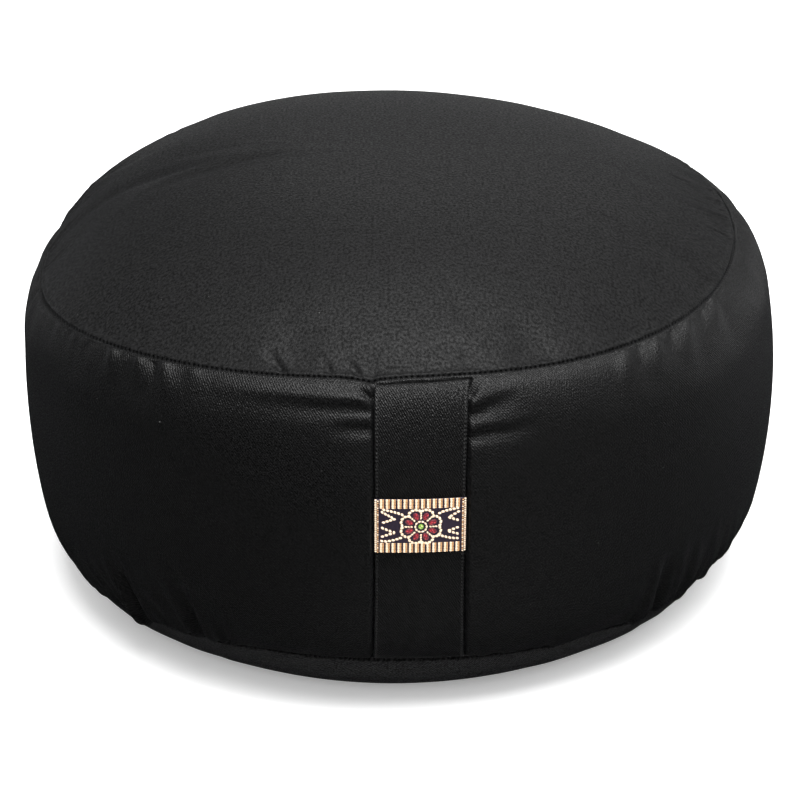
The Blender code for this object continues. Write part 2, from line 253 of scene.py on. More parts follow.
TOP_SEAM_WAVES = (
    SeamWave(-8.2, 0.0),
    SeamWave(-5.5, -0.8),
    SeamWave(-4.0, -1.6),
    SeamWave(-3.0, -2.3),
    SeamWave(-2.2, -1.1),
    SeamWave(1.0, -0.3),
    SeamWave(10.0, 0.0),
)

BOTTOM_SEAM_WAVES = (
    SeamWave(-54.0, 0.0),
    SeamWave(-51.5, -1.2),
    SeamWave(-44.5, -1.2),
    SeamWave(-42.0, 0.1),
    SeamWave(-36.0, -1.2),
    SeamWave(-31.5, 1.0),
    SeamWave(-29.5, -0.8),
    SeamWave(-21.0, 0.6),
    SeamWave(-12.0, 0.0),
    SeamWave(24.0, 0.0),
    SeamWave(27.5, -1.2),
    SeamWave(35.5, 1.4),
    SeamWave(41.8, -1.6),
    SeamWave(45.5, -2.8),
    SeamWave(48.5, 0.9),
    SeamWave(53.0, -2.0),
    SeamWave(56.2, 0.6),
    SeamWave(62.0, 0.0),
)


class BackMark(NamedTuple):
    """How far round the cover a share of the stations behind its sides has got, in degrees."""

    share: float
    turn: float


BACK_MARKS = (
    BackMark(0.0, 72.0),
    BackMark(0.04, 80.0),
    BackMark(0.265, 111.0),
    BackMark(0.68, 234.0),
    BackMark(0.96, 279.0),
    BackMark(1.0, 288.0),
)

BED_STATIONS = (0.0, 6.0, 12.0, 16.5, 17.4, 17.8, 18.2, 18.6, 19.0, 19.5, 20.3)


class Spacing(NamedTuple):
    """How closely the cover's points stand.

    The insets and the under swings list the rings of the top panel and of the bottom panel's edge. The ends
    are drops on a band of even depth. So are the first and the last ring of the middle, and the third number
    there is their count.
    """

    side_steps: int
    back_steps: int
    beside_strap: float
    insets: tuple[float, ...]
    ends: tuple[float, ...]
    middle: tuple[float, float, int]
    under: tuple[float, ...]


FINE = Spacing(
    side_steps=92,
    back_steps=365,
    beside_strap=1.15,
    insets=(*np.linspace(148.0, 26.5, 28), 24.0, 22.2, 20.5, 18.9, 17.4, 15.9, 14.4, 13.0, 11.6, 10.2, 8.8,
            7.5, 6.3, 5.2, 4.2, 3.3, 2.5, 1.8, 1.2, 0.75, 0.3),
    ends=(0.0, 0.3, 0.6, 0.95, 1.3, 1.65, 2.0, 2.4, 2.9, 3.6, 4.5, 5.5, 6.6, 7.7),
    middle=(8.8, 119.2, 60),
    under=(1.6, 3.2, 4.1, 4.8, 5.5, 6.2, 6.9, 7.8, 9.2, 11.5, 15.0, 20.0, 27.0, 36.0, 47.0, 60.0, 75.0,
           90.0),
)

COARSE = Spacing(
    side_steps=40,
    back_steps=130,
    beside_strap=4.0,
    insets=(*np.linspace(145.0, 24.0, 14), 19.0, 15.0, 11.5, 8.5, 6.0, 4.0, 2.2, 1.0),
    ends=(0.0, 1.0, 2.2, 4.0, 6.0),
    middle=(8.5, 119.5, 34),
    under=(5.0, 12.0, 24.0, 40.0, 62.0, 90.0),
)


class Panel(Enum):
    """The cushion's three cut panels, with the material index that each has on the body."""

    CROWN = 0
    BAND = 1
    UNDERSIDE = 2


def rounded(steps: np.ndarray) -> np.ndarray:
    """Eases a run of numbers from 0 to 1 with no slope at its ends."""
    held = np.clip(steps, 0.0, 1.0)
    return held * held * (3.0 - 2.0 * held)


@dataclass(frozen=True)
class CushionForm:
    """The smooth outside that the filled cover takes: an outline turned round, with its own sections."""

    crown_height: float = 186.0
    crown_fullness: float = 2.8
    band_shoulder: float = 0.9
    underside_width: float = 22.0
    strap_top_x: float = 11.5
    strap_bottom_x: float = 10.4
    strap_pinch: float = 0.052
    top_wave_reach: float = 5.0
    bottom_wave_reach: float = 9.0
    lip_left: float = 2.1
    lip_right: float = 1.2
    strap_width: float = 37.0
    table_steps: int = 361

    def sizes(self, compass: np.ndarray) -> list[np.ndarray]:
        """Reads the six section sizes on a smooth curve through the table's rows.

        Args:
            compass: Compass angles, of any shape.

        Returns:
            Seam radius and height, belly radius and height, hem radius and height, each of that shape.
        """
        rows = np.array(SECTIONS)[:, 1:]
        spacing = 360.0 / len(rows)
        row = np.floor(compass / spacing).astype(int)
        t = compass / spacing - row
        before, here, after, later = (rows[(row + step) % len(rows)] for step in (-1, 0, 1, 2))
        t = t[..., None]
        slope = after - before
        bend = 2 * before - 5 * here + 4 * after - later
        twist = 3 * (here - after) + later - before
        values = here + 0.5 * t * (slope + t * (bend + t * twist))
        return [values[..., column] for column in range(values.shape[-1])]

    def crown(self, compass: np.ndarray, reach: np.ndarray) -> tuple[np.ndarray, np.ndarray]:
        """Gives radius and height on the top panel, where reach is 0 at its middle and 1 at the seam."""
        seam_radius, seam_height = self.sizes(compass)[:2]
        fall = 1 - reach ** self.crown_fullness
        return seam_radius * reach, seam_height + (self.crown_height - seam_height) * fall

    def band(self, compass: np.ndarray, swing: np.ndarray) -> tuple[np.ndarray, np.ndarray]:
        """Gives radius and height on the side band: swing is 0 at the top seam and 180 at the bottom."""
        seam_radius, seam_height, belly_radius, belly_height, hem_radius, hem_height = self.sizes(compass)
        angle = np.radians(swing)
        spread = np.clip(np.sin(angle), 0.0, 1.0) ** self.band_shoulder
        above = swing <= 90
        end_radius = np.where(above, seam_radius, hem_radius)
        rise = np.where(above, seam_height - belly_height, belly_height - hem_height)
        return end_radius + (belly_radius - end_radius) * spread, belly_height + rise * np.cos(angle)

    def underside(self, compass: np.ndarray, swing: np.ndarray) -> tuple[np.ndarray, np.ndarray]:
        """Gives radius and height on the bottom panel's rounded edge: swing is 0 at the seam and 90 flat."""
        hem_radius, hem_height = self.sizes(compass)[4:]
        angle = np.radians(swing)
        return hem_radius - self.underside_width * (1 - np.cos(angle)), hem_height * (1 - np.sin(angle))

    def cloth_table(self, compass: np.ndarray) -> tuple[np.ndarray, np.ndarray]:
        """Measures the band's cloth at each compass angle.

        Args:
            compass: Compass angles, in one row.

        Returns:
            The swings of the table, and for each angle a row of drops at those swings.
        """
        swings = np.linspace(0.0, 180.0, self.table_steps)
        radius, height = self.band(compass[:, None], swings[None, :])
        steps = np.hypot(np.diff(radius, axis=1), np.diff(height, axis=1))
        return swings, np.concatenate([np.zeros((len(compass), 1)), np.cumsum(steps, axis=1)], axis=1)

    def strap_compass(self, swing: np.ndarray) -> np.ndarray:
        """Gives the compass angle of the strap's middle line at a swing of the band."""
        x = self.strap_bottom_x + (self.strap_top_x - self.strap_bottom_x) * (1.0 - swing / 180.0) ** 3
        return np.degrees(np.arcsin(x / self.front_radius(swing)))

    def seam_wave(self, compass: np.ndarray, drop: np.ndarray, from_hem: np.ndarray) -> np.ndarray:
        """Gives how far the seams' waves lift the cloth.

        Args:
            compass: Compass angles.
            drop: Distances from the top seam.
            from_hem: Distances from the bottom seam.

        Returns:
            Rises, which die out away from the seams.
        """
        turn = (compass + 180.0) % 360.0 - 180.0
        top = np.interp(turn, *np.array(TOP_SEAM_WAVES).T)
        bottom = np.interp(turn, *np.array(BOTTOM_SEAM_WAVES).T)
        near_top = np.exp(-drop / self.top_wave_reach)
        near_bottom = np.exp(-from_hem / self.bottom_wave_reach)
        return top * near_top + bottom * near_bottom

    def strap_start(self, offset: np.ndarray) -> np.ndarray:
        """Gives the drop where the strap comes out from under the seam's lip, which is wider on its left."""
        share = np.clip(offset / self.strap_width + 0.5, 0.0, 1.0)
        return self.lip_left + (self.lip_right - self.lip_left) * share

    def strap_share(self, swing: np.ndarray) -> np.ndarray:
        """Gives how much of its width the strap keeps at a swing: the band's belly draws it narrower."""
        return 1.0 - self.strap_pinch * np.clip(np.sin(np.radians(swing)), 0.0, 1.0)

    def front_radius(self, swing: np.ndarray) -> np.ndarray:
        """Gives the front radius that turns distances beside the strap into angles."""
        return self.band(np.zeros_like(swing), swing)[0]

    def on_band(self, offset: np.ndarray, drop: np.ndarray, lift: np.ndarray) -> np.ndarray:
        """Places points near the strap by their distance from its middle line and down the cloth.

        Args:
            offset: Distances beside the strap's middle line.
            drop: Distances down the cloth from the top seam.
            lift: Distances out from the smooth outside.

        Returns:
            Points in metres, with a last axis of three.
        """
        swings, drops = self.cloth_table(np.array([STRAP_COMPASS]))
        swing = np.interp(drop, drops[0], swings)
        beside = offset * self.strap_share(swing)
        compass = self.strap_compass(swing) + np.degrees(beside / self.front_radius(swing))
        radius, height = self.band(compass, swing)
        near = 0.25
        low = np.clip(swing - near, 0, 180)
        high = np.clip(swing + near, 0, 180)
        radius_low, height_low = self.band(compass, low)
        radius_high, height_high = self.band(compass, high)
        out = height_low - height_high
        up = radius_high - radius_low
        length = np.hypot(out, up)
        radius = radius + lift * out / length
        height = height + lift * up / length + self.seam_wave(compass, drop, drops[0, -1] - drop)
        turn = np.radians(compass)
        return np.stack([radius * np.sin(turn), -radius * np.cos(turn), height], axis=-1) * MM


class Ring(NamedTuple):
    """One ring of the cover's points, with what each point needs to be shaped and dressed."""

    compass: np.ndarray
    offset: np.ndarray
    away: np.ndarray
    from_hem: np.ndarray
    turn: np.ndarray
    points: np.ndarray


@dataclass(frozen=True)
class ClothGrid:
    """Points of the cover in rings and stations; along tells the rings' panels and places in one number."""

    panels: np.ndarray
    compass: np.ndarray
    offset: np.ndarray
    away: np.ndarray
    from_hem: np.ndarray
    along: np.ndarray
    turn: np.ndarray
    points: np.ndarray
    normals: np.ndarray

    def on(self, panel: Panel) -> np.ndarray:
        """Tells for each ring, in a column, whether it is on this panel."""
        return (self.panels == panel.value)[:, None]


def smooth_grid(values: np.ndarray, ring_passes: int, station_passes: int) -> np.ndarray:
    """Blurs values over the grid: rings are held at their ends, stations run round.

    Args:
        values: One number for each ring and station.
        ring_passes: How often each point takes up its neighbours up and down.
        station_passes: How often each point takes up its neighbours to the left and right.

    Returns:
        The blurred values.
    """
    for _ in range(ring_passes):
        padded = np.concatenate([values[:1], values, values[-1:]], axis=0)
        values = 0.25 * padded[:-2] + 0.5 * padded[1:-1] + 0.25 * padded[2:]
    for _ in range(station_passes):
        values = 0.25 * np.roll(values, 1, axis=1) + 0.5 * values + 0.25 * np.roll(values, -1, axis=1)
    return values


def mesh_from_grid(name: str, points: np.ndarray, closed_round: bool, caps: bool) -> bpy.types.Mesh:
    """Makes a mesh of quads from a grid of points.

    Args:
        name: Name of the mesh.
        points: Points in metres, by ring and station.
        closed_round: Whether the last station joins the first.
        caps: Whether the first and last ring each close onto a middle point.

    Returns:
        The mesh, its faces ring by ring and then the caps.
    """
    rings, stations = points.shape[:2]
    columns = stations if closed_round else stations - 1
    ring, station = np.meshgrid(np.arange(rings - 1), np.arange(columns), indexing="ij")
    following = (station + 1) % stations
    here = ring * stations
    below = here + stations
    quads = np.stack([here + station, below + station, below + following, here + following], -1)
    faces = quads.reshape(-1, 4).tolist()
    vertices = points.reshape(-1, 3).tolist()
    if caps:
        top = len(vertices)
        vertices.append(points[0].mean(axis=0).tolist())
        vertices.append(points[-1].mean(axis=0).tolist())
        last = (rings - 1) * stations
        around = [(column, (column + 1) % stations) for column in range(stations)]
        faces += [[top, column, after] for column, after in around]
        faces += [[top + 1, last + after, last + column] for column, after in around]
    mesh = bpy.data.meshes.new(name)
    mesh.from_pydata(vertices, [], faces)
    mesh.update()
    return mesh


def at_corners(mesh: bpy.types.Mesh, places: np.ndarray) -> np.ndarray:
    """Takes one place for each vertex over to the face corners."""
    vertex = np.empty(len(mesh.loops), dtype=np.int32)
    mesh.loops.foreach_get("vertex_index", vertex)
    return places[vertex]


def write_map(mesh: bpy.types.Mesh, name: str, corners: np.ndarray) -> None:
    """Writes a map of the flat cloth, with one place for each face corner."""
    mesh.uv_layers.new(name=name).data.foreach_set("uv", corners.ravel())


def add_piece(name: str, mesh: bpy.types.Mesh) -> bpy.types.Object:
    """Puts a mesh into the scene as a piece and lets it ride on the cushion's one body."""
    piece = bpy.data.objects.new(name, mesh)
    bpy.context.scene.collection.objects.link(piece)
    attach(piece, "root")
    return piece


class Shading:
    """Lays out the nodes of one material."""

    def __init__(self, name: str) -> None:
        """Starts a material whose only nodes are its shader and its output."""
        self.material = bpy.data.materials.new(name)
        self.material.use_nodes = True
        self.tree = self.material.node_tree
        self.shader = self.tree.nodes["Principled BSDF"]

    def node(self, kind: str, settings: dict[str, object] | None = None, **inputs: object) -> bpy.types.Node:
        """Adds a node.

        Args:
            kind: The node's type name.
            settings: Properties of the node.
            **inputs: Sockets by name, with _ for a space: a number or colour is set, and a socket is linked.
                A name of in and a number picks a socket by its place.

        Returns:
            The node.
        """
        made = self.tree.nodes.new(kind)
        for key, value in (settings or {}).items():
            setattr(made, key, value)
        for key, value in inputs.items():
            place = int(key[2:]) if key[:2] == "in" and key[2:].isdigit() else key.replace("_", " ")
            self.feed(made.inputs[place], value)
        return made

    def feed(self, socket: Socket, value: object) -> None:
        """Links a socket to another one, or sets it to a number or a colour."""
        if isinstance(value, Socket):
            self.tree.links.new(value, socket)
        else:
            socket.default_value = value

    def maths(self, operation: str, first: object, second: object = 0.0,
              third: object = 0.0) -> Socket:
        """Adds a Math node and gives its result."""
        made = self.node("ShaderNodeMath", {"operation": operation}, in0=first, in1=second, in2=third)
        return made.outputs[0]

    def ramp(self, value: Socket, low: float, high: float, start: float = 0.0,
             end: float = 1.0) -> Socket:
        """Maps a value from low..high to start..end and holds it there."""
        made = self.node("ShaderNodeMapRange", {"clamp": True}, Value=value, From_Min=low, From_Max=high,
                         To_Min=start, To_Max=end)
        return made.outputs[0]

    def blend(self, share: object, first: object, second: object) -> Socket:
        """Mixes two colours and gives the result."""
        made = self.node("ShaderNodeMix", {"data_type": "RGBA"})
        for place, value in ((0, share), (6, first), (7, second)):
            self.feed(made.inputs[place], value)
        return made.outputs[2]

    def cloth_place(self) -> Socket:
        """Gives the place on the laid-out cloth, in metres."""
        return self.node("ShaderNodeUVMap", {"uv_map": "UVMap"}).outputs[0]

    def body_place(self) -> Socket:
        """Gives the place on the object, in metres."""
        return self.node("ShaderNodeTexCoord").outputs["Object"]

    def noise(self, place: Socket, size: float, detail: float = 2.0,
              roughness: float = 0.5) -> Socket:
        """Gives soft noise whose lumps are about this many metres wide."""
        made = self.node("ShaderNodeTexNoise", None, Vector=place, Scale=1.0 / size, Detail=detail,
                         Roughness=roughness)
        return made.outputs["Fac"]

    def bump(self, height: Socket, distance: float, strength: float = 1.0,
             below: Socket | None = None) -> Socket:
        """Turns a height of 0 to 1 into relief of this many metres, over any relief below it."""
        made = self.node("ShaderNodeBump", None, Height=height, Distance=distance, Strength=strength)
        if below is not None:
            self.tree.links.new(below, made.inputs["Normal"])
        return made.outputs[0]

    def dress(self, **inputs: object) -> bpy.types.Material:
        """Sets or links the shader's sockets and gives the material."""
        for key, value in inputs.items():
            self.feed(self.shader.inputs[key.replace("_", " ")], value)
        return self.material


@dataclass(frozen=True)
class TwillFinish:
    """Black cotton twill: slanting ribs of yarn, a matt nap that catches the light, and a little lint."""

    name: str
    shade: tuple[float, float, float] = (0.0001, 0.0001, 0.0001)
    light: tuple[float, float, float] = (0.0054, 0.0054, 0.0055)
    rib_pitch: float = 0.00088
    rib_lean: float = 50.0
    rib_share: float = 0.45
    grain_size: float = 0.0009
    grain_share: float = 1.3
    slub_share: float = 0.25
    yarn_length: float = 0.0013
    relief: float = 0.00021
    roughness: float = 0.43
    sheen: float = 0.015
    sheen_roughness: float = 0.5
    gloss: float = 0.3
    lint_amount: float = 0.5
    stitch_pitch: float = 0.0021
    stitch_place: float = 0.0002
    stitch_width: float = 0.0005
    stitch_depth: float = 0.0005
    # Colour that the stitch dimples take: on the body a near black that paints shade into the needle holes,
    # on the strap a paler grey along its edge stitching
    stitch_colour_and_dimple_shade: tuple[float, float, float] = (0.0006, 0.0006, 0.0006)
    dimple_share: float = 0.85
    lint_size: float = 0.009
    lint_colour: tuple[float, float, float] = (0.35, 0.35, 0.34)

    def weave(self, m: Shading,
              cloth: Socket) -> tuple[Socket, Socket]:
        """Lays out the ribs and the grain of the yarn.

        Args:
            m: The material's nodes.
            cloth: The place on the laid-out cloth.

        Returns:
            The tone and the height of the weave, each from 0 to 1.
        """
        slant = (0.0, 0.0, math.radians(self.rib_lean))
        lean = m.node("ShaderNodeMapping", None, Vector=cloth, Rotation=slant)
        sway = m.noise(cloth, 0.003, 2.0)
        parts = m.node("ShaderNodeSeparateXYZ", None, Vector=lean.outputs[0])
        swayed = m.maths("MULTIPLY", sway, 4.0)
        across = m.maths("MULTIPLY_ADD", parts.outputs[1], math.tau / self.rib_pitch, swayed)
        rib = m.ramp(m.maths("SINE", across), -1.0, 1.0, -0.5, 0.5)
        stagger = m.maths("MULTIPLY", across, 0.5)
        along = m.maths("MULTIPLY_ADD", parts.outputs[0], math.tau / self.yarn_length, stagger)
        float_end = m.ramp(m.maths("SINE", along), -1.0, 1.0, -0.5, 0.5)
        grain = m.ramp(m.noise(cloth, self.grain_size, 2.0, 0.65), 0.34, 0.66, -0.5, 0.5)
        slub = m.ramp(m.noise(cloth, 0.005, 3.0, 0.6), 0.3, 0.7, -0.5, 0.5)
        tone = m.maths("MULTIPLY_ADD", rib, self.rib_share, 0.5)
        tone = m.maths("MULTIPLY_ADD", grain, self.grain_share, tone)
        tone = m.maths("MULTIPLY_ADD", slub, self.slub_share, tone)
        height = m.maths("MULTIPLY_ADD", rib, self.rib_share, 0.5)
        height = m.maths("MULTIPLY_ADD", grain, 0.8, height)
        return tone, m.maths("MULTIPLY_ADD", float_end, 0.4 * self.rib_share, height)

    def stitches(self, m: Shading) -> Socket:
        """Gives the needle dimples along the seams, where 1 is the bottom of a dimple."""
        beside_seam = m.node("ShaderNodeUVMap", {"uv_map": "SeamMap"}).outputs[0]
        seam = m.node("ShaderNodeSeparateXYZ", None, Vector=beside_seam)
        wander = m.noise(m.body_place(), 0.006, 1.0)
        uneven = m.maths("MULTIPLY", wander, 5.0)
        beat = m.maths("MULTIPLY_ADD", seam.outputs[0], math.tau / self.stitch_pitch, uneven)
        dash = m.ramp(m.maths("SINE", beat), -0.1, 0.4)
        beside = m.maths("SUBTRACT", m.maths("ABSOLUTE", seam.outputs[1]), self.stitch_place)
        row = m.ramp(m.maths("ABSOLUTE", beside), 0.35 * self.stitch_width, self.stitch_width, 1.0, 0.0)
        return m.maths("MULTIPLY", dash, row)

    def lint(self, m: Shading) -> Socket:
        """Gives the pale specks of lint, from 0 to 1."""
        specks = m.node("ShaderNodeTexVoronoi", {"feature": "F1"}, Vector=m.body_place(),
                        Scale=1.0 / self.lint_size)
        pick = m.node("ShaderNodeSeparateColor", None, Color=specks.outputs["Color"])
        chosen = m.maths("GREATER_THAN", pick.outputs[0], 1.0 - 0.5 * self.lint_amount)
        tiny = m.maths("LESS_THAN", specks.outputs["Distance"], 0.03)
        return m.maths("MULTIPLY", m.maths("MULTIPLY", chosen, tiny), 0.2)

    def material(self) -> bpy.types.Material:
        """Makes the cloth's material."""
        m = Shading(self.name)
        tone, height = self.weave(m, m.cloth_place())
        cloth = m.blend(m.ramp(tone, 0.0, 1.0), (*self.shade, 1.0), (*self.light, 1.0))
        stitch = self.stitches(m)
        # The dimples darken to painted shade on the body's seams, and turn to the paler stitch colour on the
        # strap
        sewn = m.blend(m.maths("MULTIPLY", stitch, self.dimple_share), cloth, (*self.stitch_colour_and_dimple_shade, 1.0))
        colour = m.blend(self.lint(m), sewn, (*self.lint_colour, 1.0))
        rough = m.ramp(tone, 0.0, 1.0, self.roughness + 0.14, self.roughness - 0.1)
        woven = m.bump(height, self.relief, 0.8)
        relief = m.bump(stitch, -self.stitch_depth, 0.8, woven)
        return m.dress(Base_Color=colour, Roughness=rough, Normal=relief, Sheen_Weight=self.sheen,
                       Sheen_Roughness=self.sheen_roughness, Sheen_Tint=(0.9, 0.93, 1.0, 1.0),
                       Specular_IOR_Level=self.gloss)


# The top panel's twill is the band's black cloth painted lighter: painted light for the stronger light that
# falls on it from above
TOP_TWILL_PAINTED_LIGHTER = TwillFinish("top_panel_twill_painted_light", (0.0020, 0.0020, 0.0020), (0.0122, 0.0122, 0.0124), rib_lean=38.0,
                        rib_share=0.06, grain_size=0.0011, grain_share=1.1, relief=0.0001, roughness=0.5,
                        gloss=0.10)
BAND_TWILL = TwillFinish("side_band_twill")
# The bottom panel's twill is the same black cloth painted lighter again: painted light for what the floor
# throws up onto it
BOTTOM_TWILL_PAINTED_LIGHTER = TwillFinish("bottom_panel_twill_painted_light", (0.0010, 0.0010, 0.0010), (0.0190, 0.0190, 0.0195),
                           rib_lean=38.0)
# The strap's stitch colour is a paler grey, with no painted shade in its dimples
STRAP_TWILL = TwillFinish("strap_twill_folded", rib_lean=60.0, rib_share=1.0, grain_share=0.3,
                          yarn_length=0.004, roughness=0.4, gloss=0.38, stitch_pitch=0.0016,
                          stitch_depth=0.00005, stitch_colour_and_dimple_shade=(0.016, 0.016, 0.016))


@dataclass(frozen=True)
class YarnFinish:
    """Shiny embroidery yarn of one colour, with its twisted fibres."""

    name: str
    colour: tuple[float, float, float]
    shade: tuple[float, float, float]
    fibre: float = 0.00022
    roughness: float = 0.42
    sheen: float = 0.25

    def material(self) -> bpy.types.Material:
        """Makes the yarn's material."""
        m = Shading(self.name)
        place = m.body_place()
        parts = m.node("ShaderNodeSeparateXYZ", None, Vector=place)
        slant = m.maths("MULTIPLY_ADD", parts.outputs[0], 0.6, parts.outputs[2])
        strand = m.ramp(m.maths("SINE", m.maths("MULTIPLY", slant, math.tau / self.fibre / 1.6)), -1.0, 1.0)
        fuzz = m.noise(place, 0.0005, 3.0, 0.6)
        tone = m.ramp(m.maths("MULTIPLY_ADD", strand, 0.5, fuzz), 0.3, 1.1)
        colour = m.blend(tone, (*self.shade, 1.0), (*self.colour, 1.0))
        height = m.maths("MULTIPLY_ADD", strand, 0.6, m.maths("MULTIPLY", fuzz, 0.4))
        return m.dress(Base_Color=colour, Roughness=self.roughness, Normal=m.bump(height, 0.00008, 0.7),
                       Sheen_Weight=self.sheen, Sheen_Roughness=0.4)


@dataclass(frozen=True)
class StudioFinish:
    """Plain pale paper of the studio floor."""

    name: str = "studio_floor"
    colour: tuple[float, float, float] = (0.94, 0.94, 0.94)
    glow: float = 0.22

    def material(self) -> bpy.types.Material:
        """Makes the floor's material."""
        m = Shading(self.name)
        fibre = m.noise(m.body_place(), 0.002, 2.0)
        tint = m.ramp(fibre, 0.3, 0.7, 0.97, 1.0)
        colour = m.node("ShaderNodeVectorMath", {"operation": "SCALE"}, in0=self.colour, Scale=tint)
        return m.dress(Base_Color=colour.outputs[0], Roughness=0.9, Specular_IOR_Level=0.1,
                       Emission_Color=(1.0, 1.0, 1.0, 1.0), Emission_Strength=self.glow)


@dataclass
class FilledCushion:
    """The twill cover, filled: top panel, side band and bottom panel, sewn with plain seams."""

    form: CushionForm
    seam_depth: float = 1.0
    seam_width: float = 0.3
    hem_depth: float = 1.2
    hem_width: float = 0.55
    hem_row: float = 2.1
    lip_rise: float = 0.24
    lip_place: float = 1.0
    lip_width: float = 0.55
    crown_lip: float = 2.2
    side_lip: float = 2.8
    side_lip_compass: float = 104.0
    side_lip_reach: float = 22.0
    front_seam_share: float = 0.38
    puckers_drawn: int = 40
    patches_drawn: int = 7
    swelling_passes: int = 14
    wrinkle_cap: float = 1.6
    inset_reach: float = 152.0
    channel_half_width: float = 18.55
    channel_wall: float = 1.6
    channel_depth: float = 2.5
    bulge: float = 2.2
    bulge_reach: float = 20.0
    near_strap: float = 43.0
    side_end: float = 72.0
    pressure: float = 4.0
    cloth_ease: float = 0.022
    travel_cap: float = 6.0
    frames: int = 20

    def station_angles(self, radius: float, spacing: Spacing) -> np.ndarray:
        """Lists the angles of a ring's points, once round from the strap's middle line.

        Args:
            radius: Front radius of the ring, which turns distances into angles.
            spacing: How closely the points stand.

        Returns:
            Angles in degrees, rising from 0.
        """
        edge = BED_STATIONS[-1]
        count = max(round((self.near_strap - edge) / spacing.beside_strap), 2)
        beside = np.linspace(edge, self.near_strap, count + 1)[1:]
        near = np.degrees(np.concatenate([BED_STATIONS, beside]) / radius)
        steps = spacing.side_steps
        side = near[-1] + (self.side_end - near[-1]) * np.arange(1, steps + 1) / steps
        half = np.concatenate([near, side])
        shares, turns = np.array(BACK_MARKS).T
        back = np.interp(np.arange(1, spacing.back_steps) / spacing.back_steps, shares, turns)
        return np.concatenate([half, back, 360.0 - half[:0:-1]])

    def ring_plan(self, spacing: Spacing) -> list[tuple[Panel, float]]:
        """Lists the rings from the top panel's middle to the resting face's edge.

        Args:
            spacing: How closely the points stand.

        Returns:
            For each ring its panel and its place: an inset on the top panel, a share of the band's cloth, or
            a swing of the bottom panel's edge. The first and the last ring of the band are the seams.
        """
        ends = [drop / BAND_CLOTH for drop in spacing.ends]
        middle = np.linspace(*spacing.middle) / BAND_CLOTH
        shares = [*ends, *middle, *(1.0 - share for share in reversed(ends))]
        plan = [(Panel.CROWN, float(inset)) for inset in spacing.insets]
        plan += [(Panel.BAND, float(share)) for share in shares]
        return plan + [(Panel.UNDERSIDE, float(swing)) for swing in spacing.under]

    def ring(self, panel: Panel, place: float, spacing: Spacing,
             table: tuple[np.ndarray, np.ndarray]) -> Ring:
        """Lays one ring on the smooth outside.

        Args:
            panel: The panel that the ring is on.
            place: Its inset, its share of the band's cloth or its swing, by the panel.
            spacing: How closely the points stand.
            table: The band's swings and drops at the stations.

        Returns:
            The ring.
        """
        swings, drops = table
        length = drops[:, -1]
        share = 1.0
        front = 0.0 if panel is Panel.CROWN else 180.0
        if panel is Panel.BAND:
            drop = place * length
            swing = np.array([np.interp(d, row, swings) for d, row in zip(drop, drops)])
            front = swing[0]
            share = self.form.strap_share(swing)
        radius = float(self.form.front_radius(np.array([front]))[0])
        turn = self.station_angles(radius, spacing)
        compass = turn + float(self.form.strap_compass(np.array([front]))[0])
        offset = np.radians((turn + 180.0) % 360.0 - 180.0) * radius / share
        if panel is Panel.CROWN:
            out, up = self.form.crown(compass, np.full_like(compass, 1.0 - place / self.inset_reach))
            away, from_hem = self.form.sizes(compass)[0] - out, np.full_like(compass, FAR)
        elif panel is Panel.BAND:
            out, up = self.form.band(compass, swing)
            away, from_hem = drop, length - drop
        else:
            out, up = self.form.underside(compass, np.full_like(compass, place))
            from_hem = np.full_like(compass, math.radians(place) * self.form.underside_width)
            away = length + from_hem
        up = up + self.form.seam_wave(compass, away, from_hem)
        angle = np.radians(compass)
        points = np.stack([out * np.sin(angle), -out * np.cos(angle), up], axis=-1)
        return Ring(compass, offset, away, from_hem, turn, points)

    def grid(self, spacing: Spacing) -> ClothGrid:
        """Lays the cover's points on the smooth outside.

        Args:
            spacing: How closely the points stand.

        Returns:
            The grid.
        """
        plan = self.ring_plan(spacing)
        table = self.form.cloth_table(self.station_angles(BAND_RADIUS, spacing))
        rings = [self.ring(panel, place, spacing, table) for panel, place in plan]
        compass, offset, away, from_hem, turn, points = (np.array(column) for column in zip(*rings))
        down = np.gradient(points, axis=0)
        sideways = np.roll(points, -1, axis=1) - np.roll(points, 1, axis=1)
        normals = np.cross(down, sideways)
        normals /= np.linalg.norm(normals, axis=-1, keepdims=True)
        panels = np.array([panel.value for panel, place in plan])
        places = np.array([-place if panel is Panel.CROWN else place for panel, place in plan])
        along = panels * PANEL_STEP + places
        return ClothGrid(panels, compass, offset, away, from_hem, along, turn, points, normals)

    def folds(self, grid: ClothGrid, panel: Panel, folds: tuple[Fold, ...],
              distance: np.ndarray) -> np.ndarray:
        """Adds up the folds of one panel.

        Args:
            grid: The cover's points.
            panel: The panel that the folds are on.
            folds: The folds.
            distance: Each point's distance from the seam that the folds are measured from.

        Returns:
            For each point how far it moves out of the smooth outside.
        """
        total = np.zeros_like(grid.away)
        rows = grid.panels == panel.value
        scale = math.radians(BAND_RADIUS if panel is Panel.BAND else CROWN_RADIUS)
        for fold in folds:
            middle = fold.path[0][0]
            compass = middle + (grid.compass[rows] - middle + 180.0) % 360.0 - 180.0
            total[rows] += fold.rise(compass, distance[rows], scale)
        return total

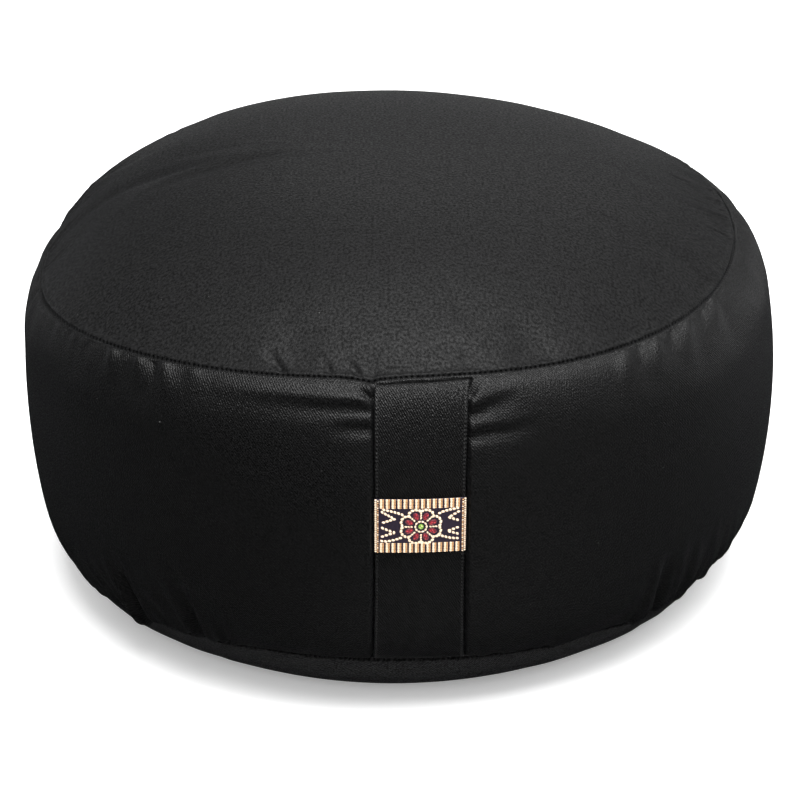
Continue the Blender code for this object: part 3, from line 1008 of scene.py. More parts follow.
    def puckers(self, grid: ClothGrid) -> np.ndarray:
        """Gives the small uneven puckers that the seams' stitches draw into the cloth beside them.

        Args:
            grid: The cover's points.

        Returns:
            For each point how far it moves out of the smooth outside.
        """
        angle = np.radians(grid.compass)
        wave = np.zeros_like(angle)
        dice = np.random.default_rng(12)
        for _ in range(self.puckers_drawn):
            count = int(dice.integers(40, 150))
            phase = dice.uniform(0, math.tau)
            wave += dice.uniform(0.4, 1.0) * np.sin(angle * count + phase)
        strength = np.zeros_like(angle)
        patch = np.random.default_rng(5)
        for _ in range(self.patches_drawn):
            count = int(patch.integers(2, 9))
            strength += np.sin(angle * count + patch.uniform(0, math.tau))
        strength = np.clip(0.55 + 0.22 * strength, 0.1, 1.3)
        band, crown = grid.on(Panel.BAND), grid.on(Panel.CROWN)
        top = np.where(band | crown, np.exp(-grid.away / 5.5) * rounded(grid.away / 2.0), 0.0)
        hem = np.where(band, np.exp(-grid.from_hem / 8.0) * rounded(grid.from_hem / 2.0), 0.0)
        return wave / 4.5 * strength * (np.where(crown, 0.55, 1.0) * top * 0.34 + hem * 0.5)

    def seams(self, grid: ClothGrid, edge: np.ndarray) -> np.ndarray:
        """Gives the seams' grooves, which are shallower in front.

        Args:
            grid: The cover's points.
            edge: Each point's distance from the nearest seam.

        Returns:
            For each point how far it moves out of the smooth outside.
        """
        turn = np.abs((grid.compass + 180.0) % 360.0 - 180.0)
        behind = rounded((turn - 55.0) / 30.0)
        depth = self.seam_depth * (self.front_seam_share + (1.0 - self.front_seam_share) * behind)
        hem = -self.hem_depth * np.exp(-((edge / self.hem_width) ** 1.3))
        top = -depth * np.exp(-((edge / self.seam_width) ** 1.3))
        return np.where(grid.on(Panel.UNDERSIDE), hem, top)

    def lips(self, grid: ClothGrid, edge: np.ndarray) -> np.ndarray:
        """Gives the lips of cloth that stand up beside the seams.

        Args:
            grid: The cover's points.
            edge: Each point's distance from the nearest seam.

        Returns:
            For each point how far it moves out of the smooth outside.
        """
        at_side = np.exp(-(((grid.compass - self.side_lip_compass) / self.side_lip_reach) ** 2))
        share = np.where(grid.on(Panel.CROWN), self.crown_lip, 1.0 + self.side_lip * at_side)
        return self.lip_rise * share * np.exp(-(((edge - self.lip_place) / self.lip_width) ** 2))

    def strap_bed(self, grid: ClothGrid, edge: np.ndarray, wall: np.ndarray,
                  opening: np.ndarray) -> np.ndarray:
        """Gives the channel that the strap presses into the band, and the bulge on both sides of it.

        Args:
            grid: The cover's points.
            edge: Each point's distance from the nearest seam.
            wall: How far each point is up the channel's wall, from 0 to 1.
            opening: How far the channel is open beside the seams, from 0 to 1.

        Returns:
            For each point how far it moves out of the smooth outside.
        """
        beyond = np.maximum(np.abs(grid.offset) - self.channel_half_width - self.channel_wall, 0.0)
        swell = rounded((edge - 6.0) / 60.0)
        bulge = self.bulge * swell * np.exp(-((beyond / self.bulge_reach) ** 2))
        pressed = -self.channel_depth * (1.0 - wall) * opening + bulge * wall
        return np.where(grid.on(Panel.BAND), pressed, 0.0)

    def relief(self, grid: ClothGrid) -> np.ndarray:
        """Gives how far each point stands out of, or is pressed into, the smooth outside.

        Args:
            grid: The cover's points.

        Returns:
            One distance for each point.
        """
        band, crown, under = (grid.on(panel) for panel in (Panel.BAND, Panel.CROWN, Panel.UNDERSIDE))
        edge = np.minimum(grid.away, np.where(under, np.abs(grid.from_hem - self.hem_row), grid.from_hem))
        beside = np.abs(grid.offset)
        wall = rounded((beside - self.channel_half_width) / self.channel_wall)
        opening = rounded((edge - self.form.strap_start(grid.offset)) / 0.5)
        folds = self.folds(grid, Panel.BAND, BAND_GATHERS, grid.away) * wall
        folds += self.folds(grid, Panel.BAND, BAND_TUCKS, grid.from_hem) * wall
        folds += self.folds(grid, Panel.CROWN, CROWN_FOLDS, grid.away)
        loose = (folds + self.puckers(grid)) * rounded(edge / 2.5)
        swing = grid.along[:, None] - PANEL_STEP * Panel.UNDERSIDE.value
        flat = np.where(under, rounded((90.0 - swing) / 30.0), 1.0)
        at_strap = band & (beside < self.channel_half_width)
        sewn = self.seams(grid, edge) + self.lips(grid, edge) * np.where(at_strap, 1.0 - opening, 1.0)
        bed = self.strap_bed(grid, edge, wall, opening)
        return (np.where(crown | band, loose, 0.0) + sewn + bed) * flat

    def simulate(self, cover: bpy.types.Object, sewn: str) -> np.ndarray:
        """Blows a cover up by cloth simulation.

        Args:
            cover: The cover, laid out on the smooth outside.
            sewn: Name of the group of points that are held.

        Returns:
            The filled cover's points, in metres.
        """
        settings = cover.modifiers.new("Filling", "CLOTH").settings
        settings.quality = 5
        settings.mass = 0.25
        settings.tension_stiffness = 20.0
        settings.compression_stiffness = 20.0
        settings.shear_stiffness = 8.0
        settings.bending_stiffness = 0.4
        settings.shrink_min = -self.cloth_ease
        settings.use_pressure = True
        settings.uniform_pressure_force = self.pressure
        settings.effector_weights.gravity = 0.0
        settings.vertex_group_mass = sewn
        for number in range(1, self.frames + 1):
            bpy.context.scene.frame_set(number)
        done = cover.evaluated_get(bpy.context.evaluated_depsgraph_get()).to_mesh()
        places = np.empty(len(done.vertices) * 3)
        done.vertices.foreach_get("co", places)
        return places.reshape(-1, 3)

    def fill(self) -> tuple[ClothGrid, np.ndarray]:
        """Fills a coarser cover, held along its seams, which gather the eased cloth.

        Returns:
            The coarse grid, and how far the filling and the gathers move each of its points outwards.
        """
        grid = self.grid(COARSE)
        under = grid.on(Panel.UNDERSIDE)
        start = (grid.points + grid.normals * (self.relief(grid) * 0.6)[..., None]) * MM
        mesh = mesh_from_grid("cover_to_fill", start, True, True)
        cover = bpy.data.objects.new("cover_to_fill", mesh)
        bpy.context.scene.collection.objects.link(cover)
        rings, stations = start.shape[:2]
        index = np.arange(rings * stations).reshape(rings, stations)
        edge = np.minimum(np.where(under, FAR, grid.away), grid.from_hem)
        under_strap = (np.abs(grid.offset) < self.channel_half_width + 2.0) & grid.on(Panel.BAND)
        sewn = (edge < 0.5) | under_strap | under
        held = cover.vertex_groups.new(name="sewn")
        held.add([int(vertex) for vertex in index[sewn]] + [rings * stations + 1], 1.0, "REPLACE")
        filled = self.simulate(cover, held.name)[:rings * stations].reshape(rings, stations, 3)
        bpy.data.objects.remove(cover, do_unlink=True)
        bpy.data.meshes.remove(mesh)
        bpy.context.scene.frame_set(1)
        moved = ((filled - start) / MM * grid.normals).sum(axis=-1)
        return grid, np.clip(moved, -self.travel_cap, self.travel_cap)

    def gathers(self, fine: ClothGrid) -> np.ndarray:
        """Takes the gathers from the simulated cover, without its general swelling, over to the fine one.

        Args:
            fine: The dressed cover's points.

        Returns:
            For each point how far it moves out of the smooth outside.
        """
        coarse, moved = self.fill()
        wrinkle = moved - smooth_grid(moved, self.swelling_passes, self.swelling_passes)
        LOG.info("filling moves the cloth by up to %.1f mm", float(np.abs(moved).max()))
        by_ring = np.array([np.interp(fine.along, coarse.along, station) for station in wrinkle.T]).T
        wrapped = np.concatenate([by_ring, by_ring[:, :1]], axis=1)
        turns = np.concatenate([coarse.turn[0], [360.0]])
        result = smooth_grid(np.array([np.interp(fine.turn[0], turns, row) for row in wrapped]), 4, 12)
        on_band = rounded((np.abs(fine.offset) - 25.0) / 110.0)
        on_crown = rounded(fine.away / 3.0) * rounded((SEAM_RADIUS - fine.away) / 60.0)
        keep = np.where(fine.on(Panel.UNDERSIDE), 0.0, np.where(fine.on(Panel.CROWN), on_crown, on_band))
        return np.clip(result, -self.wrinkle_cap, self.wrinkle_cap) * keep

    def lay_out(self, mesh: bpy.types.Mesh, grid: ClothGrid) -> None:
        """Gives each point its place on the flat cut panels, in metres, and each face its panel.

        Args:
            mesh: The cover's mesh, from the grid.
            grid: The cover's points.
        """
        rings, stations = grid.compass.shape
        turn = np.radians(grid.compass)
        on_band = np.stack([np.radians(grid.turn) * BAND_RADIUS * MM, -grid.away * MM], axis=-1)
        radius = np.hypot(grid.points[..., 0], grid.points[..., 1]) * MM
        under = grid.panels == Panel.UNDERSIDE.value
        radius[under] = (SEAM_RADIUS - grid.from_hem[under]) * MM
        on_disc = np.stack([radius * np.sin(turn), -radius * np.cos(turn)], axis=-1)
        last_band = np.nonzero(grid.panels == Panel.BAND.value)[0].max()
        panels = np.maximum(grid.panels[:-1], grid.panels[1:])
        panels[grid.panels[:-1] == Panel.CROWN.value] = Panel.CROWN.value
        panels[last_band:] = Panel.UNDERSIDE.value
        columns = np.arange(stations)
        following = (columns + 1) % stations
        parts = []
        for ring, panel in enumerate(panels):
            above, below = (on_band if panel == Panel.BAND.value else on_disc)[ring:ring + 2]
            corners = np.stack([above, below, below[following], above[following]], axis=1)
            if panel == Panel.BAND.value:
                corners[-1, 2:, 0] += math.tau * BAND_RADIUS * MM
            parts.append(corners.reshape(-1, 2))
        for ring, first, second in ((0, columns, following), (rings - 1, following, columns)):
            corners = np.zeros((stations, 3, 2))
            corners[:, 1] = on_disc[ring][first]
            corners[:, 2] = on_disc[ring][second]
            parts.append(corners.reshape(-1, 2))
        write_map(mesh, "UVMap", np.concatenate(parts))
        drop = grid.away[last_band]
        LOG.info("band cloth is %.0f to %.0f mm deep", drop.min(), drop.max())
        caps = [np.full(stations, Panel.CROWN.value), np.full(stations, Panel.UNDERSIDE.value)]
        indices = np.concatenate([np.repeat(panels, stations), *caps])
        mesh.polygons.foreach_set("material_index", indices.astype(np.int32))

    def lay_out_seams(self, mesh: bpy.types.Mesh, grid: ClothGrid) -> None:
        """Gives each point its place along the nearest seam and its distance from it, in metres.

        Args:
            mesh: The cover's mesh, from the grid.
            grid: The cover's points.
        """
        hem = np.where(grid.on(Panel.UNDERSIDE), grid.from_hem - self.hem_row, grid.from_hem)
        edge = np.minimum(grid.away, hem)
        around = np.radians(grid.turn) * SEAM_RADIUS * MM
        places = np.stack([around, edge * MM], axis=-1).reshape(-1, 2)
        corners = at_corners(mesh, np.concatenate([places, np.ones((2, 2))]))
        stations = grid.compass.shape[1]
        quads = (len(grid.panels) - 1) * stations * 4
        column = (np.arange(quads) // 4) % stations
        closing = (column == stations - 1) & (np.arange(quads) % 4 >= 2)
        corners[:quads][closing, 0] += math.tau * SEAM_RADIUS * MM
        write_map(mesh, "SeamMap", corners)

    def build(self) -> bpy.types.Object:
        """Makes the filled cover, dresses it and lets it stand for the plain solid."""
        grid = self.grid(FINE)
        rise = self.relief(grid)
        rise = rise + self.gathers(grid)
        points = (grid.points + grid.normals * rise[..., None]) * MM
        points[..., 2] = np.maximum(points[..., 2], 0.0)
        mesh = mesh_from_grid("filled_cushion", points, True, True)
        for finish in (TOP_TWILL_PAINTED_LIGHTER, BAND_TWILL, BOTTOM_TWILL_PAINTED_LIGHTER):
            mesh.materials.append(finish.material())
        self.lay_out(mesh, grid)
        self.lay_out_seams(mesh, grid)
        mesh.shade_smooth()
        piece = add_piece("filled_cushion", mesh)
        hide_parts("cushion")
        return piece


@dataclass
class HandleStrap:
    """The flat strap: a strip of twill folded to two layers, edge-stitched and caught in both seams."""

    form: CushionForm
    width: float = 37.0
    thickness: float = 2.0
    bed: float = -2.3
    top_end: float = 0.15
    hem_end: float = 0.6
    edge_radius: float = 0.7
    stitch_inset: float = 0.95
    stitch_depth: float = 0.16
    sag: float = 0.25

    def outline(self) -> tuple[np.ndarray, np.ndarray]:
        """Gives the strap's closed cross-section: offsets across it, and heights above its bed."""
        half = self.width / 2
        flat = half - self.edge_radius
        top = np.array([-flat, -half + 1.3, -half + 1.6, -half + 2.1, -half + 2.8, -half + 4.0])
        middle = np.linspace(-half + 6.0, half - 6.0, 13)
        top = np.concatenate([top, middle, -top[::-1]])
        heights = np.full_like(top, self.thickness)
        inner = np.abs(np.abs(top) - (half - self.stitch_inset))
        heights -= self.stitch_depth * np.exp(-((inner / 0.28) ** 2))
        heights += 0.18 * np.exp(-(((np.abs(top) - half + 0.7) / 0.5) ** 2))
        angles = np.radians([67.5, 45.0, 22.5, 0.0, -22.5, -45.0, -67.5])
        bend = self.thickness / 2
        right_x = flat + self.edge_radius * np.cos(angles)
        right_z = bend + bend * np.sin(angles)
        bottom = np.linspace(flat, -flat, 9)
        across = np.concatenate([top, right_x, bottom, -right_x[::-1]])
        rise = np.concatenate([heights, right_z, np.zeros_like(bottom), right_z[::-1]])
        return across, rise

    def lift(self, offset: np.ndarray, drop: np.ndarray, ends: np.ndarray, rise: np.ndarray) -> np.ndarray:
        """Gives how far the strap's points stand out from the smooth band.

        Args:
            offset: Distances beside the middle line.
            drop: Distances down the band's cloth.
            ends: Distances from the nearer end.
            rise: Heights of the section's points above its bed.

        Returns:
            One distance for each point: the ends dip under the seams, and the middle sags a little.
        """
        dice = np.random.default_rng(3)
        wave = np.zeros_like(drop)
        for _ in range(5):
            share = dice.uniform(0.5, 1.0)
            period = dice.uniform(9, 30)
            wave += share * np.sin(drop / period + dice.uniform(0, math.tau))
        upper = rise > self.thickness / 2
        dip = -0.9 * np.exp(-ends / 0.5)
        lift = self.bed + np.where(rise > 0.2, rise, 0.0) + dip + 0.05 * wave * upper
        return lift - self.sag * (1 - (2 * offset / self.width) ** 2) * upper

    def build(self) -> bpy.types.Object:
        """Makes the strap, dresses it and lets it stand for the plain sheet."""
        across, rise = self.outline()
        total = float(self.form.cloth_table(np.array([STRAP_COMPASS]))[1][0, -1])
        length = total - self.hem_end - self.top_end
        run_in = np.array([0.0, 0.3, 0.7, 1.2, 1.8, 2.5])
        drops = np.concatenate([run_in, np.linspace(3.6, length - 3.6, 110), length - run_in[::-1]])
        offset, below = np.meshgrid(across, drops)
        start = self.form.strap_start(offset) + self.top_end
        drop = start + below * (total - self.hem_end - start) / length
        lift = self.lift(offset, drop, np.minimum(below, length - below), rise)
        points = self.form.on_band(offset, drop, lift)
        mesh = mesh_from_grid("handle_strap_sewn", points, True, True)
        cloth = np.stack([offset * MM, -drop * MM], axis=-1).reshape(-1, 2)
        write_map(mesh, "UVMap", at_corners(mesh, np.concatenate([cloth, np.zeros((2, 2))])))
        from_row = np.abs(np.abs(offset) - (self.width / 2 - self.stitch_inset))
        beside = np.stack([-drop * MM, from_row * MM], axis=-1)
        beside[:, rise < self.thickness / 2, 1] = 1.0
        beside = np.concatenate([beside.reshape(-1, 2), np.ones((2, 2))])
        write_map(mesh, "SeamMap", at_corners(mesh, beside))
        mesh.materials.append(STRAP_TWILL.material())
        mesh.shade_smooth()
        piece = add_piece("handle_strap_sewn", mesh)
        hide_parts("handle_strap")
        return piece


class Yarn(Enum):
    """The yarns of the ribbon's floats, and a brighter red that paints the petals' highlights, with the
    material index of each.
    """

    CREAM = 0
    AMBER = 1
    CRIMSON = 2
    GREEN = 3
    # Painted highlight: a brighter copy of the crimson for the petals' lit strands
    SCARLET = 4


RIBBON_GROUND = YarnFinish("ribbon_ground", (0.022, 0.010, 0.030), (0.006, 0.003, 0.010))
YARN_FINISHES = {
    Yarn.CREAM: YarnFinish("cream_yarn", (0.96, 0.80, 0.62), (0.62, 0.40, 0.22)),
    Yarn.AMBER: YarnFinish("amber_yarn", (0.62, 0.36, 0.15), (0.28, 0.12, 0.05)),
    Yarn.CRIMSON: YarnFinish("crimson_yarn", (0.20, 0.006, 0.02), (0.05, 0.002, 0.008)),
    Yarn.GREEN: YarnFinish("green_yarn", (0.22, 0.42, 0.04), (0.10, 0.22, 0.02)),
    # Painted highlight: a brighter copy of the crimson yarn
    Yarn.SCARLET: YarnFinish("petal_highlight_yarn", (0.62, 0.02, 0.03), (0.30, 0.008, 0.02)),
}


@dataclass(frozen=True)
class Bead:
    """One float of yarn on the ribbon: its middle, its length and width, its lean and its yarn."""

    across: float
    down: float
    length: float
    width: float
    lean: float
    yarn: Yarn
    rise: float = 0.42


def pad_shell(rings: int, columns: int) -> tuple[np.ndarray, list[list[int]]]:
    """Makes a rounded pad of radius 1: the upper half of a ball.

    Args:
        rings: Steps from its top to its foot.
        columns: Steps round it.

    Returns:
        Its points and its faces.
    """
    shell = [(0.0, 0.0, 1.0)]
    for ring in range(1, rings + 1):
        polar = math.radians(90.0) * ring / rings
        wide, high = math.sin(polar), math.cos(polar)
        turns = [math.tau * column / columns for column in range(columns)]
        shell += [(wide * math.cos(turn), wide * math.sin(turn), high) for turn in turns]
    faces = []
    for column in range(columns):
        after = (column + 1) % columns
        faces.append([0, 1 + after, 1 + column])
        for ring in range(rings - 1):
            low = 1 + ring * columns
            faces.append([low + column, low + after, low + columns + after, low + columns + column])
    faces.append([1 + (rings - 1) * columns + column for column in range(columns)])
    return np.array(shell), faces


@dataclass
class WovenRibbon:
    """The small ribbon sewn flat across the strap: a dark ground with bars, beaded lines and one flower."""

    form: CushionForm
    width: float = 36.6
    height: float = 23.5
    chart_scale: tuple[float, float] = (1.012, 0.962)
    top_swing: float = 75.0
    top_rise: float = 1.8
    top_drop: float = 0.0
    thickness: float = 0.8
    bed: float = 0.05
    bar_pitch: float = 2.32
    bar_width: float = 1.6
    first_bar: float = 3.05
    bars: int = 14
    bar_rows: int = 6
    border_rows: int = 24
    flower_middle: tuple[float, float] = (18.5, 11.9)
    petals: int = 8

    def line(self, path: tuple[tuple[float, float], ...], yarn: Yarn, pitch: float = 1.55,
             length: float = 1.55, width: float = 1.1, slant: float = 24.0) -> list[Bead]:
        """Strings beads of yarn along a path.

        Args:
            path: Points across and down the ribbon, in millimetres.
            yarn: The yarn.
            pitch: Distance between beads.
            length: Length of a bead.
            width: Width of a bead.
            slant: How far each bead leans against the path, in degrees.

        Returns:
            The beads.
        """
        corners = np.array(path)
        steps = np.hypot(*np.diff(corners, axis=0).T)
        reach = np.concatenate([[0.0], np.cumsum(steps)])
        count = max(int(round(reach[-1] / pitch)), 1)
        beads = []
        for place in (np.arange(count) + 0.5) * reach[-1] / count:
            across, down = (float(np.interp(place, reach, corners[:, axis])) for axis in (0, 1))
            ahead = [float(np.interp(place + 0.2, reach, corners[:, axis])) for axis in (0, 1)]
            behind = [float(np.interp(place - 0.2, reach, corners[:, axis])) for axis in (0, 1)]
            lean = math.degrees(math.atan2(ahead[1] - behind[1], ahead[0] - behind[0])) + slant
            beads.append(Bead(across, down, length, width, lean, yarn))
        return beads

    def bars_and_borders(self) -> list[Bead]:
        """Lists the bars along the top and bottom edges and the plain columns at both ends."""
        beads = []
        half = self.bar_width * 0.56
        for index in range(self.bars):
            middle = self.first_bar + self.bar_pitch * index
            for centre, height in ((2.0, 4.0), (21.3, 4.3)):
                step = height / self.bar_rows
                for row in range(self.bar_rows):
                    down = centre + height * ((row + 0.5) / self.bar_rows - 0.5)
                    beads.append(Bead(middle - self.bar_width * 0.24, down, half * 1.25, step * 1.15, 8.0,
                                      Yarn.CREAM, 0.38))
                    beads.append(Bead(middle + self.bar_width * 0.26, down, half, step * 1.1, -8.0,
                                      Yarn.AMBER, 0.34))
        for row in range(self.border_rows):
            down = self.height * (row + 0.5) / self.border_rows
            left = Yarn.AMBER if row % 3 else Yarn.CREAM
            right = Yarn.CREAM if row % 2 else Yarn.AMBER
            beads += [Bead(0.5, down, 1.0, 0.85, 0.0, Yarn.CREAM, 0.36),
                      Bead(1.35, down + 0.4, 0.8, 0.7, 0.0, left, 0.36),
                      Bead(self.width - 0.5, down, 0.9, 0.85, 0.0, Yarn.CREAM, 0.36),
                      Bead(self.width - 1.4, down + 0.4, 0.85, 0.75, 0.0, right, 0.36)]
        return beads

    def chevrons(self) -> list[Bead]:
        """Lists the beads of the chevrons and of the curves that run from the corners to the flower."""
        paths = (
            ((2.5, 5.2), (8.0, 8.5), (3.0, 10.3)),
            ((2.5, 12.2), (7.8, 14.5), (2.5, 16.6)),
            ((34.1, 5.5), (29.5, 8.2), (33.8, 9.8)),
            ((33.8, 12.6), (29.1, 14.2), (33.8, 15.8)),
            ((3.0, 4.3), (6.1, 5.0), (9.3, 5.9), (11.7, 6.9)),
            ((33.8, 4.2), (30.3, 4.8), (27.6, 5.4), (25.2, 6.5)),
            ((2.2, 18.2), (4.9, 18.5), (8.1, 17.7), (11.1, 16.6)),
            ((33.8, 17.7), (30.5, 17.4), (27.3, 16.4), (24.9, 15.5)),
        )
        beads = []
        for path in paths:
            beads += self.line(path, Yarn.CREAM)
        return beads

    def petal(self, number: int) -> list[Bead]:
        """Lists one petal of the flower, with the brighter strands that paint its highlights and the spoke
        beside it.

        Args:
            number: The petal's number, counted round the flower.

        Returns:
            The beads.
        """
        centre_x, centre_y = self.flower_middle
        turn = math.radians(22.5 + 360.0 / self.petals * number)
        out_x, out_y = math.cos(turn), math.sin(turn)
        x, y = centre_x + 5.0 * out_x, centre_y + 5.0 * out_y * 0.96
        lean = math.degrees(turn)
        beads = [Bead(x, y, 3.7, 2.4, lean, Yarn.CRIMSON, 0.6)]
        # Brighter red strands on the petal are painted highlights
        for along, beside in ((0.7, 0.35), (-0.2, -0.3), (-0.8, 0.2)):
            strand_x = x + along * out_x - beside * out_y
            strand_y = y + along * out_y + beside * out_x
            beads.append(Bead(strand_x, strand_y, 1.3, 0.5, lean + 30.0, Yarn.SCARLET, 0.8))
        spoke = math.radians(360.0 / self.petals * number)
        inner = (centre_x + 3.2 * math.cos(spoke), centre_y + 3.2 * math.sin(spoke))
        outer = (centre_x + 6.6 * math.cos(spoke), centre_y + 6.4 * math.sin(spoke))
        return beads + self.line((inner, outer), Yarn.CREAM, 1.25, 1.2, 0.8)

    def flower(self) -> list[Bead]:
        """Lists the flower: green middle with two cream beads that paint its highlights, cream ring, eight
        petals, spokes and a lobed outline.
        """
        centre_x, centre_y = self.flower_middle
        beads = [Bead(centre_x, centre_y, 2.4, 2.4, 0.0, Yarn.GREEN, 0.55),
                 # Two small cream beads on the green middle are painted highlights
                 Bead(centre_x + 0.3, centre_y - 0.4, 0.9, 0.5, 30.0, Yarn.CREAM, 0.8),
                 Bead(centre_x - 0.4, centre_y + 0.3, 0.8, 0.4, 30.0, Yarn.CREAM, 0.8)]
        for turn in (math.tau * number / 10 for number in range(10)):
            beads.append(Bead(centre_x + 2.25 * math.cos(turn), centre_y + 2.25 * math.sin(turn), 1.35, 0.85,
                              math.degrees(turn) + 90.0, Yarn.CREAM, 0.5))
        for number in range(self.petals):
            beads += self.petal(number)
        lobes = []
        for turn in (math.tau * step / 96 for step in range(97)):
            swell = 1.3 * abs(math.cos(self.petals / 2 * (turn - math.radians(22.5)))) ** 0.7
            x = centre_x + (7.0 + swell) * math.cos(turn)
            y = centre_y + (6.4 + swell) * math.sin(turn)
            lobes.append((x, y))
        return beads + self.line(tuple(lobes), Yarn.CREAM, 1.5, 1.6, 1.2, 24.0)

    def ground(self) -> tuple[np.ndarray, np.ndarray]:
        """Gives the ground's grid: distances across and down the ribbon, with a rim turned under."""
        across = np.concatenate([[0.0], np.linspace(0.25, self.width - 0.25, 45), [self.width]])
        down = np.concatenate([[0.0], np.linspace(0.25, self.height - 0.25, 31), [self.height]])
        return np.meshgrid(across, down)

    def place(self, across: np.ndarray, down: np.ndarray, rise: np.ndarray) -> np.ndarray:
        """Places points of the ribbon on the strap, in metres."""
        wide, high = self.chart_scale
        offset = (across - self.width / 2) * wide
        return self.form.on_band(offset, self.top_drop + down * high, self.bed + rise)

    def pad(self, bead: Bead, unit: np.ndarray) -> np.ndarray:
        """Lays one float on the ground and gives its points, in metres."""
        lean = math.radians(bead.lean)
        long_side = unit[:, 0] * bead.length / 2
        short_side = unit[:, 1] * bead.width / 2
        across = bead.across + long_side * math.cos(lean) - short_side * math.sin(lean)
        down = bead.down + long_side * math.sin(lean) + short_side * math.cos(lean)
        rise = self.thickness - 0.08 + unit[:, 2] * bead.rise
        return self.place(np.clip(across, 0.0, self.width), np.clip(down, 0.0, self.height), rise)

    def build(self) -> tuple[bpy.types.Object, bpy.types.Object]:
        """Makes the ground sheet and the floats of yarn, and lets the sheet stand for the plain one."""
        swings, drops = self.form.cloth_table(np.array([STRAP_COMPASS]))
        self.top_drop = float(np.interp(self.top_swing, swings, drops[0])) - self.top_rise
        across, down = self.ground()
        edge = np.minimum(np.minimum(across, self.width - across), np.minimum(down, self.height - down))
        top = self.place(across, down, self.thickness - 0.35 * np.exp(-edge / 0.25))
        mesh = mesh_from_grid("woven_ribbon_ground", top, False, False)
        cloth = np.stack([across * MM, -down * MM], axis=-1).reshape(-1, 2)
        write_map(mesh, "UVMap", at_corners(mesh, cloth))
        mesh.materials.append(RIBBON_GROUND.material())
        mesh.shade_smooth()
        sheet = add_piece("woven_ribbon_ground", mesh)
        shell = sheet.modifiers.new("Cloth thickness", "SOLIDIFY")
        shell.thickness = self.thickness * MM
        shell.offset = -1.0
        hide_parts("woven_ribbon")
        return sheet, self.floats()

    def floats(self) -> bpy.types.Object:
        """Makes all floats of yarn as one piece: each a small rounded pad that lies on the ground."""
        beads = self.bars_and_borders() + self.chevrons() + self.flower()
        unit, pad_faces = pad_shell(4, 8)
        faces: list[list[int]] = []
        yarns: list[int] = []
        for number, bead in enumerate(beads):
            start = number * len(unit)
            faces += [[start + corner for corner in face] for face in pad_faces]
            yarns += [bead.yarn.value] * len(pad_faces)
        points = np.concatenate([self.pad(bead, unit) for bead in beads])
        mesh = bpy.data.meshes.new("woven_ribbon_floats")
        mesh.from_pydata(points.tolist(), [], faces)
        mesh.polygons.foreach_set("material_index", np.array(yarns, dtype=np.int32))
        for finish in YARN_FINISHES.values():
            mesh.materials.append(finish.material())
        mesh.shade_smooth()
        piece = add_piece("woven_ribbon_floats", mesh)
        return piece


class Lamp(NamedTuple):
    """A soft rectangular light: a level one shines upwards, and the others face the cushion."""

    name: str
    place: tuple[float, float, float]
    size: tuple[float, float]
    power: float
    glossy: bool = True
    level: bool = False


LAMPS = (
    Lamp("overhead_softbox", (0.12, -0.35, 1.6), (1.3, 1.0), 41.0),
    Lamp("right_softbox", (0.95, -0.55, 1.4), (0.6, 0.6), 5.0),
    Lamp("back_board", (0.0, 1.05, 0.12), (0.8, 0.16), 0.3),
    Lamp("floor_bounce", (0.16, -0.235, 0.002), (0.4, 0.12), 0.025, level=True),
    Lamp("back_softbox", (0.3, 1.7, 1.1), (1.6, 0.6), 4.3),
    Lamp("front_fill", (0.3, -1.9, 0.8), (1.8, 1.2), 2.0, glossy=False),
    Lamp("left_board", (-1.3, 0.9, 0.25), (1.0, 0.5), 1.0),
    Lamp("right_board", (1.3, 0.9, 0.25), (1.0, 0.5), 2.0),
)


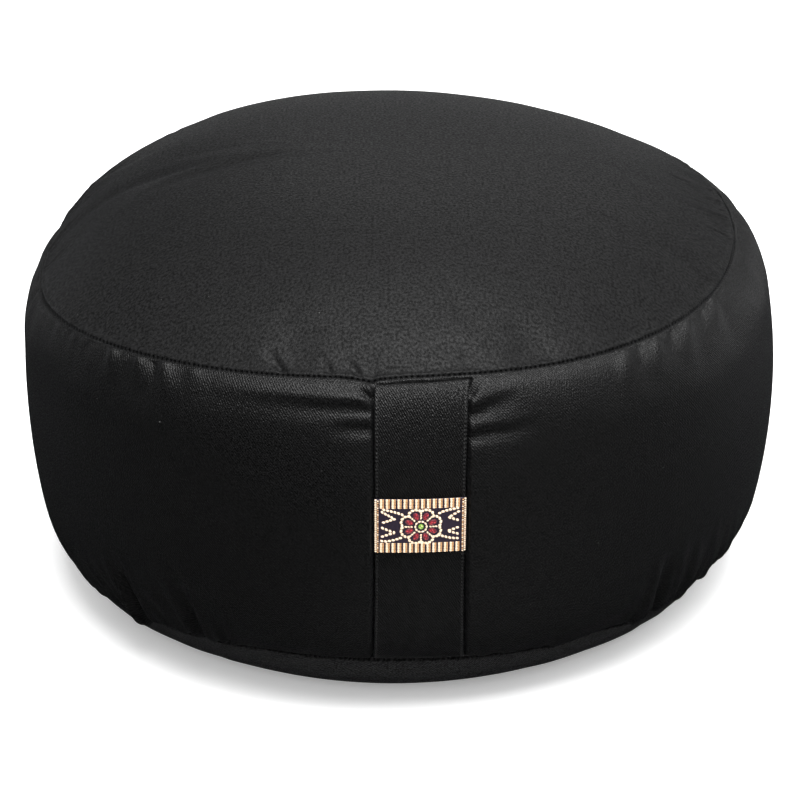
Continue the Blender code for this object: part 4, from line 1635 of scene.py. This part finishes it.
@dataclass
class Studio:
    """The pale floor, the soft lights and the camera."""

    target: tuple[float, float, float] = (0.0028, 0.0, 0.0680)
    distance: float = 1.15
    elevation: float = 25.3
    lens: float = 116.73
    sensor: float = 36.0
    lit_point: tuple[float, float, float] = (0.0, 0.0, 0.08)
    floor_half: float = 6.0
    floor_height: float = -0.0004

    def camera(self) -> None:
        """Stands the camera where the picture was taken from."""
        data = bpy.data.cameras.new("camera")
        data.lens = self.lens
        data.sensor_width = self.sensor
        data.clip_start = 0.05
        data.clip_end = 50.0
        eye = bpy.data.objects.new("camera", data)
        rise = math.radians(self.elevation)
        aim = Vector(self.target)
        eye.location = aim + self.distance * Vector((0.0, -math.cos(rise), math.sin(rise)))
        eye.rotation_euler = (aim - eye.location).to_track_quat("-Z", "Y").to_euler()
        bpy.context.scene.collection.objects.link(eye)
        bpy.context.scene.camera = eye

    def hang(self, lamp: Lamp) -> None:
        """Hangs one light."""
        data = bpy.data.lights.new(lamp.name, "AREA")
        data.shape = "RECTANGLE"
        data.size, data.size_y = lamp.size
        data.energy = lamp.power
        light = bpy.data.objects.new(lamp.name, data)
        light.location = lamp.place
        aim = Vector((0.0, 0.0, 1.0)) if lamp.level else Vector(self.lit_point) - Vector(lamp.place)
        light.rotation_euler = aim.to_track_quat("-Z", "Y").to_euler()
        light.visible_camera = False
        light.visible_glossy = lamp.glossy
        bpy.context.scene.collection.objects.link(light)

    def floor(self) -> bpy.types.Object:
        """Lays the floor just under the cushion."""
        half, height = self.floor_half, self.floor_height
        signs = ((-1, -1), (1, -1), (1, 1), (-1, 1))
        corners = [(x * half, y * half, height) for x, y in signs]
        mesh = bpy.data.meshes.new("studio_floor")
        mesh.from_pydata(corners, [], [(0, 1, 2, 3)])
        mesh.materials.append(StudioFinish().material())
        floor = bpy.data.objects.new("studio_floor", mesh)
        bpy.context.scene.collection.objects.link(floor)
        floor.visible_glossy = False
        return floor

    def build(self) -> None:
        """Sets up the whole studio."""
        self.camera()
        self.floor()
        for lamp in LAMPS:
            self.hang(lamp)
        world = bpy.data.worlds.new("studio")
        world.use_nodes = True
        background = world.node_tree.nodes["Background"]
        background.inputs["Color"].default_value = (1.0, 1.0, 1.0, 1.0)
        background.inputs["Strength"].default_value = 1.0
        world.cycles_visibility.glossy = False
        bpy.context.scene.world = world
        bpy.context.scene.view_settings.view_transform = "Standard"


def main() -> None:
    """Builds and dresses the cushion, piece by piece, and sets up the studio."""
    logging.basicConfig(level=logging.INFO, format="%(name)s: %(message)s")
    form = CushionForm()
    body = FilledCushion(form).build()
    LOG.info("%s: %d faces", body.name, len(body.data.polygons))
    strap = HandleStrap(form).build()
    LOG.info("%s: %d faces", strap.name, len(strap.data.polygons))
    for piece in WovenRibbon(form).build():
        LOG.info("%s: %d faces", piece.name, len(piece.data.polygons))
    Studio().build()


if __name__ == "__main__":
    main()
